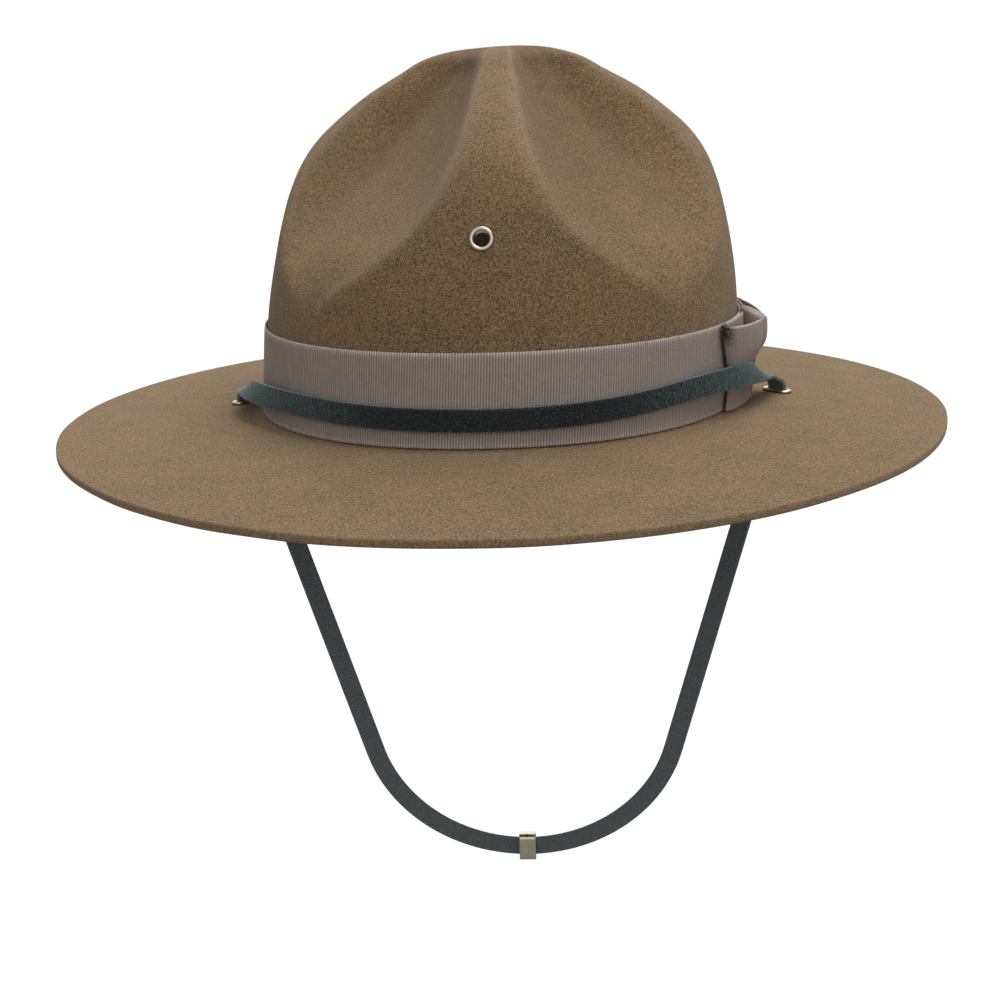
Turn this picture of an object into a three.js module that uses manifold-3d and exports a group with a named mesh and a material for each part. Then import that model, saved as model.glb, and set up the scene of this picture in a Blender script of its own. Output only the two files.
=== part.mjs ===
// Campaign hat: a felt crown pinched with four dents on a wide stiff brim, a ribbed ribbon band with a
// flat bow on the wearer's left, and a narrow leather strap round the front and down through the brim.
// Millimetres, +Z up. The origin is the centre of the head opening, level with the underside of the brim
// there. The front of the hat faces -Y, and the wearer's left is +X.
import * as THREE from "three";
import { mergeVertices } from "three/addons/utils/BufferGeometryUtils.js";
import Module from "manifold-3d";

const wasm = await Module();
wasm.setup();

// Driving sizes.
const CLEARANCE = 0.3; // between pieces that touch on the real hat
const CROWN = {
  halfWidth: 86.4, // outside of the felt at the brim
  halfLength: 100.2,
  height: 127, // from the underside of the brim to the top of the peak
  felt: 2.4,
  lean: 3.8, // how far the peak stands towards the wearer's left
  squareness: 2.12, // exponent of the oval: 2 is an ellipse
};
const BRIM = {
  halfWidth: 161,
  halfLength: 176,
  felt: 3,
  sideFall: 5.2, // how far the edge lies below the head opening at the sides
  frontFall: 7.6,
  backFall: 5.8,
  fallPower: 1.2, // 1 is a straight slope, more keeps the brim level near the crown
  squareness: 2,
};
const BAND = { width: 30.5, thickness: 1 };
const BOW = {
  halfLength: 39.3, // from the middle of the knot to a fold, along the band
  angle: -10, // where its knot lies round the crown, 0 is the wearer's left
  puff: 5.5, // how far the loops stand off the band at the top
  flare: 0.5, // how a loop opens from its fold to the knot: 1 is an even wedge
  sag: 0.35, // how far its upper edge hangs for each length that it stands off
  ribbon: 1,
  knotHalfLength: 5.5,
  knotPuff: 9,
  knotRound: 0.15, // how much flatter the knot is at its sides than in its middle, as a share
  knotOverhang: 0.9, // how far the knot stands above the loops
};
const BADGE_EYELET = {
  height: 68,
  offCentre: 2.9, // towards the wearer's right of the front ridge
  flange: 7.8,
  hole: 5,
  wall: 0.5,
  flangeThickness: 0.8,
};
const STRAP = {
  width: 7.6,
  thickness: 1.4,
  frontHeight: 12.8, // middle of the strap above the underside of the brim, at the front
  sideHeight: { left: 15, right: 13.6 }, // the same where it leaves the crown, on each side
  leaveAngle: 52, // degrees from the wearer's left to where it leaves the crown
  bulge: 0.72, // how freely it swings out over the bow, as a share of the way to the slot
  lift: 2.6, // how far it rises above the slot before it turns down
  level: 0.6, // how long it lies level before the slot, as a share of the slot's distance
  curl: 4, // radius of its turn down into the slot
  strandSlope: 0.248, // how far a strand comes inwards for each length that it drops
  strandBack: 0.2, // how far it goes back for each length that it drops
  drop: 151, // how far below the head opening the straight strands end
};
const SLOT = {
  fromCrown: { left: 15.4, right: 8.8 }, // middle of the slot outside the crown, on each side
  forward: 8.6, // middle of the slot in front of the middle of the hat
  turn: 45, // degrees between the slot and the hat's width
  length: 8.8,
  width: 3,
  wall: 0.6,
  flangeWidth: 0.9,
  flangeThickness: 0.8,
};
const KEEPER = { length: 7, wall: 1.6, play: 0.5 };

// Facets.
const AROUND = 72;
const RINGS_PER_ROW = 1.5;
const INNER_RINGS_PER_ROW = 1.2;
const BRIM_RINGS = 3;
const EYELET_SIDES = 28;

// The crown's ridges from foot to peak. up is a share of the height above the brim, out a share of the
// half width and half length, pinch how far a dent cuts in as a share of the radius, and panel the share
// of the half width that the flat of a ridge keeps between two dents.
const CROWN_ROWS = [
  { up: 0.0, out: 1.0, pinch: 0.0, panel: 0.7 },
  { up: 0.12, out: 0.996, pinch: 0.0, panel: 0.7 },
  { up: 0.246, out: 0.989, pinch: 0.0, panel: 0.7 },
  { up: 0.355, out: 0.972, pinch: 0.01, panel: 0.64 },
  { up: 0.46, out: 0.946, pinch: 0.075, panel: 0.45 },
  { up: 0.54, out: 0.921, pinch: 0.175, panel: 0.32 },
  { up: 0.621, out: 0.889, pinch: 0.285, panel: 0.235 },
  { up: 0.694, out: 0.845, pinch: 0.38, panel: 0.185 },
  { up: 0.758, out: 0.781, pinch: 0.45, panel: 0.155 },
  { up: 0.815, out: 0.691, pinch: 0.495, panel: 0.145 },
  { up: 0.879, out: 0.567, pinch: 0.52, panel: 0.145 },
  { up: 0.933, out: 0.428, pinch: 0.49, panel: 0.15 },
  { up: 0.971, out: 0.327, pinch: 0.4, panel: 0.16 },
  { up: 0.992, out: 0.217, pinch: 0.27, panel: 0.18 },
  { up: 1.0, out: 0.11, pinch: 0.08, panel: 0.2 },
  { up: 1.0, out: 0.0, pinch: 0.0, panel: 0.2 },
];
const CREASE = 0.07; // softness of the edge between a ridge and a dent
const STEEPNESS = 3; // how fast a dent falls off beside a ridge
const NARROWEST_DENT = 0.04; // from a ridge's edge to the diagonal, where a row has no dent yet
const DIAGONAL = Math.SQRT1_2;

// The bow at heights of the ribbon, as shares: stand is how far it stands off, because the strap presses its
// lower half in, and reach is how far its folds lie from the knot.
const BOW_ROWS = [
  { up: 0.0, stand: 0.45, reach: 0.85 },
  { up: 0.36, stand: 0.32, reach: 0.8 },
  { up: 0.68, stand: 0.95, reach: 0.9 },
  { up: 1.0, stand: 1.0, reach: 1.0 },
];

// A smooth value between the rows of a table, for a place from 0 to the last row.
function fromRows(rows, column, place) {
  const last = rows.length - 1;
  const i = Math.min(Math.floor(place), last - 1);
  const t = place - i;
  const value = (k) => rows[Math.min(Math.max(k, 0), last)][column];
  const [a, b, c, d] = [value(i - 1), value(i), value(i + 1), value(i + 2)];
  return b + 0.5 * t * (c - a + t * (2 * a - 5 * b + 4 * c - d + t * (3 * (b - c) + d - a)));
}

// A point of an oval at an angle, from its half axes and the exponent that squares it off.
function oval(angle, halfWidth, halfLength, squareness) {
  const c = Math.cos(angle);
  const s = Math.sin(angle);
  const k = (Math.abs(c) ** squareness + Math.abs(s) ** squareness) ** (-1 / squareness);
  return new THREE.Vector2(halfWidth * c * k, halfLength * s * k);
}

// How deep the dent is at an angle: 0 on a ridge's panel, 1 on the diagonal.
function dentAt(angle, panel) {
  const off = Math.min(Math.abs(Math.cos(angle)), Math.abs(Math.sin(angle)));
  const x = (off - panel) / Math.max(DIAGONAL - panel, NARROWEST_DENT);
  const soft = Math.min((x + Math.hypot(x, CREASE)) / 2, 1);
  return 1 - (1 - soft) ** STEEPNESS;
}

// A point on the outside of the crown. place runs along CROWN_ROWS.
function crownPoint(angle, place) {
  const out = fromRows(CROWN_ROWS, "out", place);
  const pinch = fromRows(CROWN_ROWS, "pinch", place);
  const panel = fromRows(CROWN_ROWS, "panel", place);
  const share = out * (1 - pinch * dentAt(angle, panel));
  const p = oval(angle, CROWN.halfWidth, CROWN.halfLength, CROWN.squareness).multiplyScalar(share);
  const up = fromRows(CROWN_ROWS, "up", place);
  const lean = CROWN.lean * (1 - (1 - up) ** 2);
  return new THREE.Vector3(p.x + lean, p.y, BRIM.felt + (CROWN.height - BRIM.felt) * up);
}

// The outward normal of the crown, from small steps along it and round it.
function crownNormal(angle, place) {
  const step = 0.01;
  const last = CROWN_ROWS.length - 1;
  const along = crownPoint(angle, Math.min(place + step, last - step));
  along.sub(crownPoint(angle, Math.max(Math.min(place, last - step) - step, 0)));
  const round = crownPoint(angle + step, place).sub(crownPoint(angle - step, place));
  return round.cross(along).normalize();
}

// The place along CROWN_ROWS where the ridge reaches a height, by halving.
function placeAtHeight(height) {
  let low = 0;
  let high = CROWN_ROWS.length - 2;
  for (let i = 0; i < 40; i++) {
    const middle = (low + high) / 2;
    if (crownPoint(0, middle).z < height) low = middle;
    else high = middle;
  }
  return low;
}

// A point off the side of the crown: an angle round it, a height, and a distance outwards.
function besideCrown(angle, height, distance) {
  const place = placeAtHeight(height);
  const p = crownPoint(angle, place);
  const n = crownNormal(angle, place).setZ(0).normalize();
  return new THREE.Vector3(p.x, p.y, height).addScaledVector(n, distance);
}

// How high the top of the brim lies at an angle, for a share of the way from the crown to the edge.
function brimTop(angle, share) {
  const endFall = Math.sin(angle) < 0 ? BRIM.frontFall : BRIM.backFall;
  const fall = THREE.MathUtils.lerp(BRIM.sideFall, endFall, Math.sin(angle) ** 2);
  return BRIM.felt - fall * share ** BRIM.fallPower;
}

// A point of the brim in plan, for an angle and a share of the way from the crown to the edge.
function brimPlan(angle, share) {
  const inner = oval(angle, CROWN.halfWidth, CROWN.halfLength, CROWN.squareness);
  return inner.lerp(oval(angle, BRIM.halfWidth, BRIM.halfLength, BRIM.squareness), share);
}

// A closed mesh through rings of points, each ring joined to the next. The last ring is joined to the
// first, or both ends close on a point when poles is true. Faces are turned outwards at the end.
function meshThrough(rings, poles) {
  const count = rings[0].length;
  const corners = [];
  const joins = poles ? rings.length - 1 : rings.length;
  for (let i = 0; i < joins; i++) {
    const a = rings[i];
    const b = rings[(i + 1) % rings.length];
    for (let j = 0; j < count; j++) {
      const k = (j + 1) % count;
      corners.push(a[j], a[k], b[k], a[j], b[k], b[j]);
    }
  }
  return facingOut(new THREE.BufferGeometry().setFromPoints(corners));
}

// The geometry as one indexed mesh without collapsed faces, and turned inside out if it faces inwards.
function facingOut(geometry) {
  const merged = mergeVertices(geometry.index ? geometry.toNonIndexed() : geometry, 1e-3);
  const index = merged.index.array;
  const position = merged.attributes.position;
  const [a, b, c] = [new THREE.Vector3(), new THREE.Vector3(), new THREE.Vector3()];
  let volume = 0;
  let faces = [];
  for (let i = 0; i < index.length; i += 3) {
    const face = [index[i], index[i + 1], index[i + 2]];
    if (new Set(face).size < 3) continue;
    faces.push(face);
    [a, b, c].forEach((v, k) => v.fromBufferAttribute(position, face[k]));
    volume += a.dot(b.cross(c));
  }
  if (volume < 0) faces = faces.map(([p, q, r]) => [p, r, q]);
  merged.setIndex(faces.flat());
  return merged;
}

// A three.js geometry as a solid that can be cut, and back.
function solidOf(geometry) {
  const bare = new THREE.BufferGeometry();
  bare.setAttribute("position", geometry.getAttribute("position"));
  bare.setIndex(geometry.index);
  const merged = facingOut(bare);
  return new wasm.Manifold(
    new wasm.Mesh({
      numProp: 3,
      vertProperties: merged.attributes.position.array,
      triVerts: new Uint32Array(merged.index.array),
    }),
  );
}

function geometryOf(solid) {
  const { numProp, numVert, vertProperties, triVerts } = solid.getMesh();
  const points = new Float32Array(numVert * 3);
  for (let i = 0; i < numVert; i++) {
    points.set(vertProperties.subarray(i * numProp, i * numProp + 3), i * 3);
  }
  const geometry = new THREE.BufferGeometry();
  geometry.setAttribute("position", new THREE.BufferAttribute(points, 3));
  return geometry.setIndex(new THREE.BufferAttribute(triVerts, 1));
}

// Angles round the hat, evenly spread.
const ANGLES = Array.from({ length: AROUND }, (_, i) => (i / AROUND) * 2 * Math.PI);

// Places along CROWN_ROWS from one end to the other, an even number of rings for each row.
function places(ringsPerRow) {
  const last = CROWN_ROWS.length - 1;
  const count = Math.round(last * ringsPerRow);
  return Array.from({ length: count + 1 }, (_, i) => (i / count) * last);
}

// Crown and brim as one wall of felt, before its holes are cut.
function feltWall() {
  const ringAt = (pointAt) => ANGLES.map(pointAt);
  const rings = [];
  for (const place of places(RINGS_PER_ROW).reverse()) {
    rings.push(ringAt((angle) => crownPoint(angle, place)));
  }
  const shares = Array.from({ length: BRIM_RINGS }, (_, i) => (i + 1) / BRIM_RINGS);
  const round = BRIM.felt / 4;
  const insetAt = (share) => (share === 1 ? round : 0);
  for (const share of shares) rings.push(ringAt((angle) => brimPoint(angle, share, 0, insetAt(share))));
  rings.push(ringAt((angle) => brimPoint(angle, 1, round, 0)));
  rings.push(ringAt((angle) => brimPoint(angle, 1, BRIM.felt - round, 0)));
  for (const share of shares.reverse()) {
    rings.push(ringAt((angle) => brimPoint(angle, share, BRIM.felt, insetAt(share))));
  }
  const inside = (angle, place) => crownPoint(angle, place).addScaledVector(crownNormal(angle, place), -CROWN.felt);
  rings.push(ringAt((angle) => inside(angle, 0).setZ(0)));
  const inner = places(INNER_RINGS_PER_ROW).slice(0, -1);
  for (const place of inner) rings.push(ringAt((angle) => inside(angle, place)));
  rings.push(ringAt(() => new THREE.Vector3(CROWN.lean, 0, CROWN.height - CROWN.felt)));
  return meshThrough(rings, true);
}

// A point of the brim at a depth below its top, drawn back from the outline by inset.
function brimPoint(angle, share, depth, inset) {
  const p = brimPlan(angle, share);
  p.setLength(p.length() - inset);
  return new THREE.Vector3(p.x, p.y, brimTop(angle, share) - depth);
}

// How far the slot lies from the crown on side 1, the wearer's left, or -1.
const slotFromCrown = (side) => (side === 1 ? SLOT.fromCrown.left : SLOT.fromCrown.right);

// The frame of a brim slot for side 1 or -1: its middle, the way along it, the way across it that points
// away from the front, and the way up out of the sloping brim.
function slotFrame(side) {
  const turn = THREE.MathUtils.degToRad(SLOT.turn);
  const across = SLOT.forward / CROWN.halfLength;
  const crownX = CROWN.halfWidth * Math.sqrt(1 - across ** 2);
  const brimWidth = BRIM.halfWidth - CROWN.halfWidth;
  const fromCrown = slotFromCrown(side);
  const share = fromCrown / brimWidth;
  const slope = (BRIM.sideFall * BRIM.fallPower * share ** (BRIM.fallPower - 1)) / brimWidth;
  const up = new THREE.Vector3(side * slope, 0, 1).normalize();
  const middle = new THREE.Vector3(side * (crownX + fromCrown), -SLOT.forward, brimTop(0, share) - BRIM.felt / 2);
  const outward = new THREE.Vector3(side * Math.sin(turn), Math.cos(turn), 0);
  outward.addScaledVector(up, -outward.dot(up)).normalize();
  const along = outward.clone().cross(up);
  return { middle, along, outward, up };
}

// The outline of a bar with round ends, length by width, grown by an even amount.
function roundedBar(length, width, grow) {
  const radius = width / 2 + grow;
  const reach = (length - width) / 2;
  const shape = new THREE.Shape();
  shape.absarc(reach, 0, radius, -Math.PI / 2, Math.PI / 2, false);
  shape.absarc(-reach, 0, radius, Math.PI / 2, (3 * Math.PI) / 2, false);
  return shape.closePath();
}

// A bar with round ends pushed through the brim at a slot.
function slotBar(grow, height) {
  const shape = roundedBar(SLOT.length, SLOT.width, grow);
  const geometry = new THREE.ExtrudeGeometry(shape, { depth: height, bevelEnabled: false, curveSegments: 6 });
  return geometry.translate(0, 0, -height / 2);
}

// Turns a geometry made along x and up z into the frame of the slot on one side.
function placeInSlot(geometry, side) {
  const { middle, along, outward, up } = slotFrame(side);
  const frame = new THREE.Matrix4().makeBasis(along, outward, up).setPosition(middle);
  return facingOut(stripped(geometry).applyMatrix4(frame));
}

// A metal eyelet with round ends that lines a slot: a tube with a flange above and below the felt.
function slotEyelet(side) {
  const tall = slotTall();
  const body = solidOf(slotBar(SLOT.wall, tall));
  const flangeGrow = SLOT.wall + SLOT.flangeWidth;
  const flange = slotBar(flangeGrow, SLOT.flangeThickness);
  const lift = (tall - SLOT.flangeThickness) / 2;
  const top = solidOf(flange.clone().translate(0, 0, lift));
  const bottom = solidOf(flange.clone().translate(0, 0, -lift));
  const hole = solidOf(slotBar(0, tall + 2));
  return placeInSlot(geometryOf(body.add(top).add(bottom).subtract(hole)), side);
}

// The frame of the badge eyelet: the middle of the felt at the front, and the way out of it.
function badgeFrame() {
  const angle = -Math.PI / 2 - BADGE_EYELET.offCentre / CROWN.halfWidth;
  const place = placeAtHeight(BADGE_EYELET.height);
  const outward = crownNormal(angle, place);
  const middle = crownPoint(angle, place).addScaledVector(outward, -CROWN.felt / 2);
  const turn = new THREE.Quaternion().setFromUnitVectors(new THREE.Vector3(0, 1, 0), outward);
  return { middle, turn };
}

// A round part about the badge eyelet's axis, turned from a closed profile of radius and height.
function badgeTurned(profile) {
  const points = profile.map(([radius, height]) => new THREE.Vector2(radius, height));
  points.push(points[0].clone());
  const { middle, turn } = badgeFrame();
  const geometry = new THREE.LatheGeometry(points, EYELET_SIDES).applyQuaternion(turn);
  return geometry.translate(middle.x, middle.y, middle.z);
}

// The round eyelet at the front of the crown: a tube through the felt with a flange on each side.
function badgeEyelet() {
  const inner = BADGE_EYELET.hole / 2;
  const tube = inner + BADGE_EYELET.wall;
  const flange = BADGE_EYELET.flange / 2;
  const grip = CROWN.felt / 2 + CLEARANCE;
  const end = grip + BADGE_EYELET.flangeThickness;
  return badgeTurned([
    [inner, -end],
    [flange, -end],
    [flange, -grip],
    [tube, -grip],
    [tube, grip],
    [flange, grip],
    [flange, end],
    [inner, end],
  ]);
}

// The felt with the hole for the badge eyelet and the two slots cut through it.
function feltBody() {
  const radius = BADGE_EYELET.hole / 2 + BADGE_EYELET.wall + CLEARANCE;
  const reach = 3 * CROWN.felt;
  const drill = badgeTurned([
    [0, -reach],
    [radius, -reach],
    [radius, reach],
    [0, reach],
  ]);
  let felt = solidOf(feltWall()).subtract(solidOf(drill));
  for (const side of [1, -1]) {
    const cutter = slotBar(SLOT.wall + CLEARANCE, 3 * BRIM.felt);
    felt = felt.subtract(solidOf(placeInSlot(cutter, side)));
  }
  return geometryOf(felt);
}

// The ribbon round the foot of the crown, as a closed band that leans with the felt.
function ribbonBand() {
  const bottom = BRIM.felt + CLEARANCE;
  const heights = [0, 0.5, 1].map((share) => bottom + share * BAND.width);
  const inside = heights.map((height) => [height, CLEARANCE]);
  const outside = heights.map((height) => [height, CLEARANCE + BAND.thickness]).reverse();
  const rings = [...inside, ...outside].map(([height, distance]) =>
    ANGLES.map((angle) => besideCrown(angle, height, distance)),
  );
  return meshThrough(rings, false);
}

// A point beside the crown at the bow: how far along the band from the knot, and how far off the band.
function besideBand(along, height, distance) {
  const angle = THREE.MathUtils.degToRad(BOW.angle) + along / CROWN.halfLength;
  const up = (height - BRIM.felt) / BAND.width;
  const hung = height - BOW.sag * distance * up;
  return besideCrown(angle, hung, 2 * CLEARANCE + BAND.thickness + distance);
}

// One loop of the bow: a strip of ribbon that runs out along the band, folds, and comes back standing off
// it, so it is open above, below and at the knot. side is -1 for the front loop and 1 for the back one.
function bowLoop(side) {
  const bottom = BRIM.felt + 2 * CLEARANCE;
  const runs = BOW_ROWS.map(bowLoopRun);
  const rings = runs[0].map((_, i) => {
    const walls = BOW_ROWS.map(({ up }, k) => {
      const run = runs[k];
      const way = run[Math.min(i + 1, run.length - 1)].clone().sub(run[Math.max(i - 1, 0)]).normalize();
      const across = new THREE.Vector2(-way.y, way.x).multiplyScalar(BOW.ribbon / 2);
      const place = (p) => besideBand(side * p.x, bottom + up * BAND.width, p.y);
      return [place(run[i].clone().add(across)), place(run[i].clone().sub(across))];
    });
    return [...walls.map((wall) => wall[0]), ...walls.map((wall) => wall[1]).reverse()];
  });
  return meshThrough([endRing(rings[0]), ...rings, endRing(rings.at(-1))], true);
}

// The middle of the loop's ribbon in plan: x runs along the band from the knot, y is the way off it.
function bowLoopRun({ stand, reach }) {
  const start = BOW.knotHalfLength + CLEARANCE;
  const steps = 6;
  const shares = Array.from({ length: steps + 1 }, (_, i) => i / steps);
  const foldGap = BOW.ribbon + CLEARANCE;
  const end = BOW.halfLength * reach - (foldGap + BOW.ribbon) / 2;
  const alongAt = (share) => THREE.MathUtils.lerp(start, end, share);
  const standOff = (share) => foldGap + BOW.puff * stand * (1 - share) ** BOW.flare;
  const low = BOW.ribbon / 2;
  const under = shares.map((share) => new THREE.Vector2(alongAt(share), low));
  const over = shares.map((share) => new THREE.Vector2(alongAt(share), low + standOff(share))).reverse();
  const fold = [-0.25, 0, 0.25].map((turns) => {
    const angle = turns * Math.PI;
    const radius = foldGap / 2;
    return new THREE.Vector2(end + radius * Math.cos(angle), low + radius + radius * Math.sin(angle));
  });
  return [...under, ...fold, ...over];
}

// A ring shrunk to its middle, which closes the end of a strip.
function endRing(ring) {
  const centre = new THREE.Vector3();
  ring.forEach((p) => centre.addScaledVector(p, 1 / ring.length));
  return ring.map(() => centre);
}

// The knot: a short strip of ribbon wrapped upright over the middle of the bow.
function bowKnot() {
  const bottom = BRIM.felt + 2 * CLEARANCE;
  const tall = BAND.width + BOW.knotOverhang;
  const steps = 6;
  const shares = Array.from({ length: steps + 1 }, (_, i) => i / steps);
  const layers = BOW_ROWS.map(({ up, stand }) => {
    const outline = shares.map((share) => [
      THREE.MathUtils.lerp(-BOW.knotHalfLength, BOW.knotHalfLength, share),
      BOW.knotPuff * stand * (1 - BOW.knotRound * (1 - Math.sin(Math.PI * share))),
    ]);
    outline.push([BOW.knotHalfLength, 0], [-BOW.knotHalfLength, 0]);
    return outline.map(([along, distance]) => besideBand(along, bottom + up * tall, distance));
  });
  return meshThrough([endRing(layers[0]), ...layers, endRing(layers.at(-1))], true);
}

// Half of the strap's run, from the front of the crown to the nape on side 1 or -1, as points with the way
// that the strap's outer face looks.
function strapHalf(side) {
  const { middle, outward, up } = slotFrame(side);
  const run = [];
  const leave = THREE.MathUtils.degToRad(STRAP.leaveAngle);
  const off = 2 * CLEARANCE + BAND.thickness + STRAP.thickness / 2;
  const sideHeight = side === 1 ? STRAP.sideHeight.left : STRAP.sideHeight.right;
  const wrapSteps = 11;
  for (let i = 0; i <= wrapSteps; i++) {
    const share = i / wrapSteps;
    const turned = share * (Math.PI / 2 - leave);
    const angle = -Math.PI / 2 + side * turned;
    const height = THREE.MathUtils.lerp(STRAP.frontHeight, sideHeight, share ** 2);
    const point = besideCrown(angle, height, off);
    run.push({ point, face: crownNormal(angle, placeAtHeight(height)) });
  }
  const start = run.at(-1);
  const way = start.point.clone().sub(run.at(-2).point).normalize();
  const rise = slotTall() / 2 + STRAP.curl;
  const arrive = middle.clone().addScaledVector(outward, -STRAP.curl).addScaledVector(up, rise);
  const reach = start.point.distanceTo(arrive);
  const bend = new THREE.CubicBezierCurve3(
    start.point,
    start.point.clone().addScaledVector(way, reach * STRAP.bulge),
    arrive.clone().addScaledVector(outward, -slotFromCrown(side) * STRAP.level).addScaledVector(up, STRAP.lift),
    arrive,
  );
  const crossSteps = 10;
  for (let i = 1; i <= crossSteps; i++) {
    const share = i / crossSteps;
    const twist = THREE.MathUtils.smoothstep(share, 0, 1);
    run.push({ point: bend.getPoint(share), face: start.face.clone().lerp(up, twist).normalize() });
  }
  const centre = arrive.clone().addScaledVector(up, -STRAP.curl);
  const curlSteps = 4;
  for (let i = 1; i <= curlSteps; i++) {
    const angle = (i / curlSteps) * (Math.PI / 2);
    const face = up.clone().multiplyScalar(Math.cos(angle)).addScaledVector(outward, Math.sin(angle));
    run.push({ point: centre.clone().addScaledVector(face, STRAP.curl), face });
  }
  run.push({ point: middle, face: outward });
  run.push({ point: strandEnds(side).start, face: outward });
  return [...run, ...strandAndNape(side, outward)];
}

// Where the strand on one side starts under its slot, and where it ends above the nape.
function strandEnds(side) {
  const { middle, up } = slotFrame(side);
  const start = middle.clone().addScaledVector(up, -slotTall() / 2 - STRAP.thickness);
  const way = new THREE.Vector3(-side * STRAP.strandSlope, STRAP.strandBack, -1);
  return { start, end: start.clone().addScaledVector(way, start.z + STRAP.drop) };
}

// The straight strand below the brim on one side, and its half of the round turn behind the nape.
function strandAndNape(side, outward) {
  const back = new THREE.Vector3(0, 1, 0);
  const napeTurn = 0.6; // share of the way to facing back that the strand has turned at its end
  const faceAt = (share) => outward.clone().lerp(back, share).normalize();
  const { start, end } = strandEnds(side);
  const run = [];
  const strandSteps = 8;
  for (let i = 1; i <= strandSteps; i++) {
    const share = i / strandSteps;
    run.push({ point: start.clone().lerp(end, share), face: faceAt(share * napeTurn) });
  }
  const centreX = (end.x + strandEnds(-side).end.x) / 2;
  const lean = Math.atan(STRAP.strandSlope);
  const radius = Math.abs(end.x - centreX) / Math.cos(lean);
  const turnSteps = 9;
  for (let i = 1; i <= turnSteps; i++) {
    const share = i / turnSteps;
    const angle = THREE.MathUtils.lerp(-lean, -Math.PI / 2, share);
    const x = centreX + side * radius * Math.cos(angle);
    const z = end.z + radius * (Math.sin(angle) + Math.sin(lean));
    const point = new THREE.Vector3(x, end.y + STRAP.strandBack * (end.z - z), z);
    run.push({ point, face: faceAt(THREE.MathUtils.lerp(napeTurn, 1, share)) });
  }
  return run;
}

// Height of a slot eyelet with both its flanges.
const slotTall = () => BRIM.felt + 2 * CLEARANCE + 2 * SLOT.flangeThickness;

// The whole loop of the strap: one half to the nape, and the other half back to the front.
function strapRun() {
  const back = strapHalf(-1).slice(1, -1).reverse();
  return [...strapHalf(1), ...back];
}

// A flat section swept along a closed run of points, square to the run and turned with its face.
function sweepFlat(run, width, thickness) {
  const count = run.length;
  const rings = run.map(({ point, face }, i) => {
    const along = run[(i + 1) % count].point.clone().sub(run[(i + count - 1) % count].point).normalize();
    const out = face.clone().addScaledVector(along, -face.dot(along)).normalize();
    const across = along.clone().cross(out);
    const corner = (x, y) =>
      point.clone().addScaledVector(across, (x * width) / 2).addScaledVector(out, (y * thickness) / 2);
    return [corner(1, 1), corner(-1, 1), corner(-1, -1), corner(1, -1)];
  });
  return meshThrough(rings, false);
}

// The plain keeper that joins the strap at the nape: a flat sleeve round it.
function strapKeeper() {
  const { point, face } = strapHalf(1).at(-1);
  const grow = KEEPER.play + KEEPER.wall;
  const outer = boxShape(STRAP.width + 2 * grow, STRAP.thickness + 2 * grow);
  outer.holes.push(boxShape(STRAP.width + 2 * KEEPER.play, STRAP.thickness + 2 * KEEPER.play));
  const geometry = new THREE.ExtrudeGeometry(outer, { depth: KEEPER.length, bevelEnabled: false });
  geometry.translate(0, 0, -KEEPER.length / 2);
  const along = new THREE.Vector3(-1, 0, 0);
  const across = along.clone().cross(face).normalize();
  const frame = new THREE.Matrix4().makeBasis(across, face, across.clone().cross(face));
  return facingOut(stripped(geometry.applyMatrix4(frame).translate(point.x, point.y, point.z)));
}

// A rectangle about the middle.
function boxShape(width, height) {
  const [x, y] = [width / 2, height / 2];
  return new THREE.Shape([
    new THREE.Vector2(-x, -y),
    new THREE.Vector2(x, -y),
    new THREE.Vector2(x, y),
    new THREE.Vector2(-x, y),
  ]);
}

// The geometry with its positions alone.
function stripped(geometry) {
  return geometry.deleteAttribute("normal").deleteAttribute("uv");
}

const FELT = new THREE.MeshStandardMaterial({ color: 0x7a6448, roughness: 0.95 });
const RIBBON = new THREE.MeshStandardMaterial({ color: 0x82716a, roughness: 0.7 });
const LEATHER = new THREE.MeshStandardMaterial({ color: 0x16191b, roughness: 0.45 });
const NICKEL = new THREE.MeshStandardMaterial({ color: 0xd8d0b8, roughness: 0.3, metalness: 1 });

const hat = new THREE.Group();
hat.name = "campaign_hat";

function addPiece(name, geometry, material) {
  const mesh = new THREE.Mesh(geometry, material);
  mesh.name = name;
  hat.add(mesh);
}

addPiece("felt_body", feltBody(), FELT);
addPiece("ribbon_band", ribbonBand(), RIBBON);
addPiece("bow_loop_front", bowLoop(-1), RIBBON);
addPiece("bow_loop_back", bowLoop(1), RIBBON);
addPiece("bow_knot", bowKnot(), RIBBON);
addPiece("badge_eyelet", badgeEyelet(), NICKEL);
addPiece("slot_eyelet_left", slotEyelet(1), NICKEL);
addPiece("slot_eyelet_right", slotEyelet(-1), NICKEL);
addPiece("chin_strap", sweepFlat(strapRun(), STRAP.width, STRAP.thickness), LEATHER);
addPiece("strap_keeper", strapKeeper(), NICKEL);

export default hat;
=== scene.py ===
"""Campaign hat: four-dent felt crown on a wide brim, ribbed ribbon with a side bow, and a leather strap.

Metres, +Z up, the front of the hat faces -Y and the wearer's left is +X. The origin is the centre of the
head opening. Every soft piece repeats the formulas of the solids, on finer grids and with its own relief.
"""

import logging
import math
from dataclasses import dataclass, field
from enum import Enum
from typing import Any

import bpy
import numpy as np
from mathutils import Matrix, Vector


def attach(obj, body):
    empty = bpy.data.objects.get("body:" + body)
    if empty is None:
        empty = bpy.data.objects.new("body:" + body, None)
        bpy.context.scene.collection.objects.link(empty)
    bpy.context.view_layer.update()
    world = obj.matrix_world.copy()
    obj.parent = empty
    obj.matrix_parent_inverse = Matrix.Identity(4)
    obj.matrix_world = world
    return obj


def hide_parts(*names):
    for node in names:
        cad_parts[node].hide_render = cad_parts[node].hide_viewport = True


Array = np.ndarray
Colour = tuple[float, float, float, float]
LOG = logging.getLogger("hat")
MM = 0.001
FRONT = -math.pi / 2
CLEARANCE = 0.3 * MM

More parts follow.
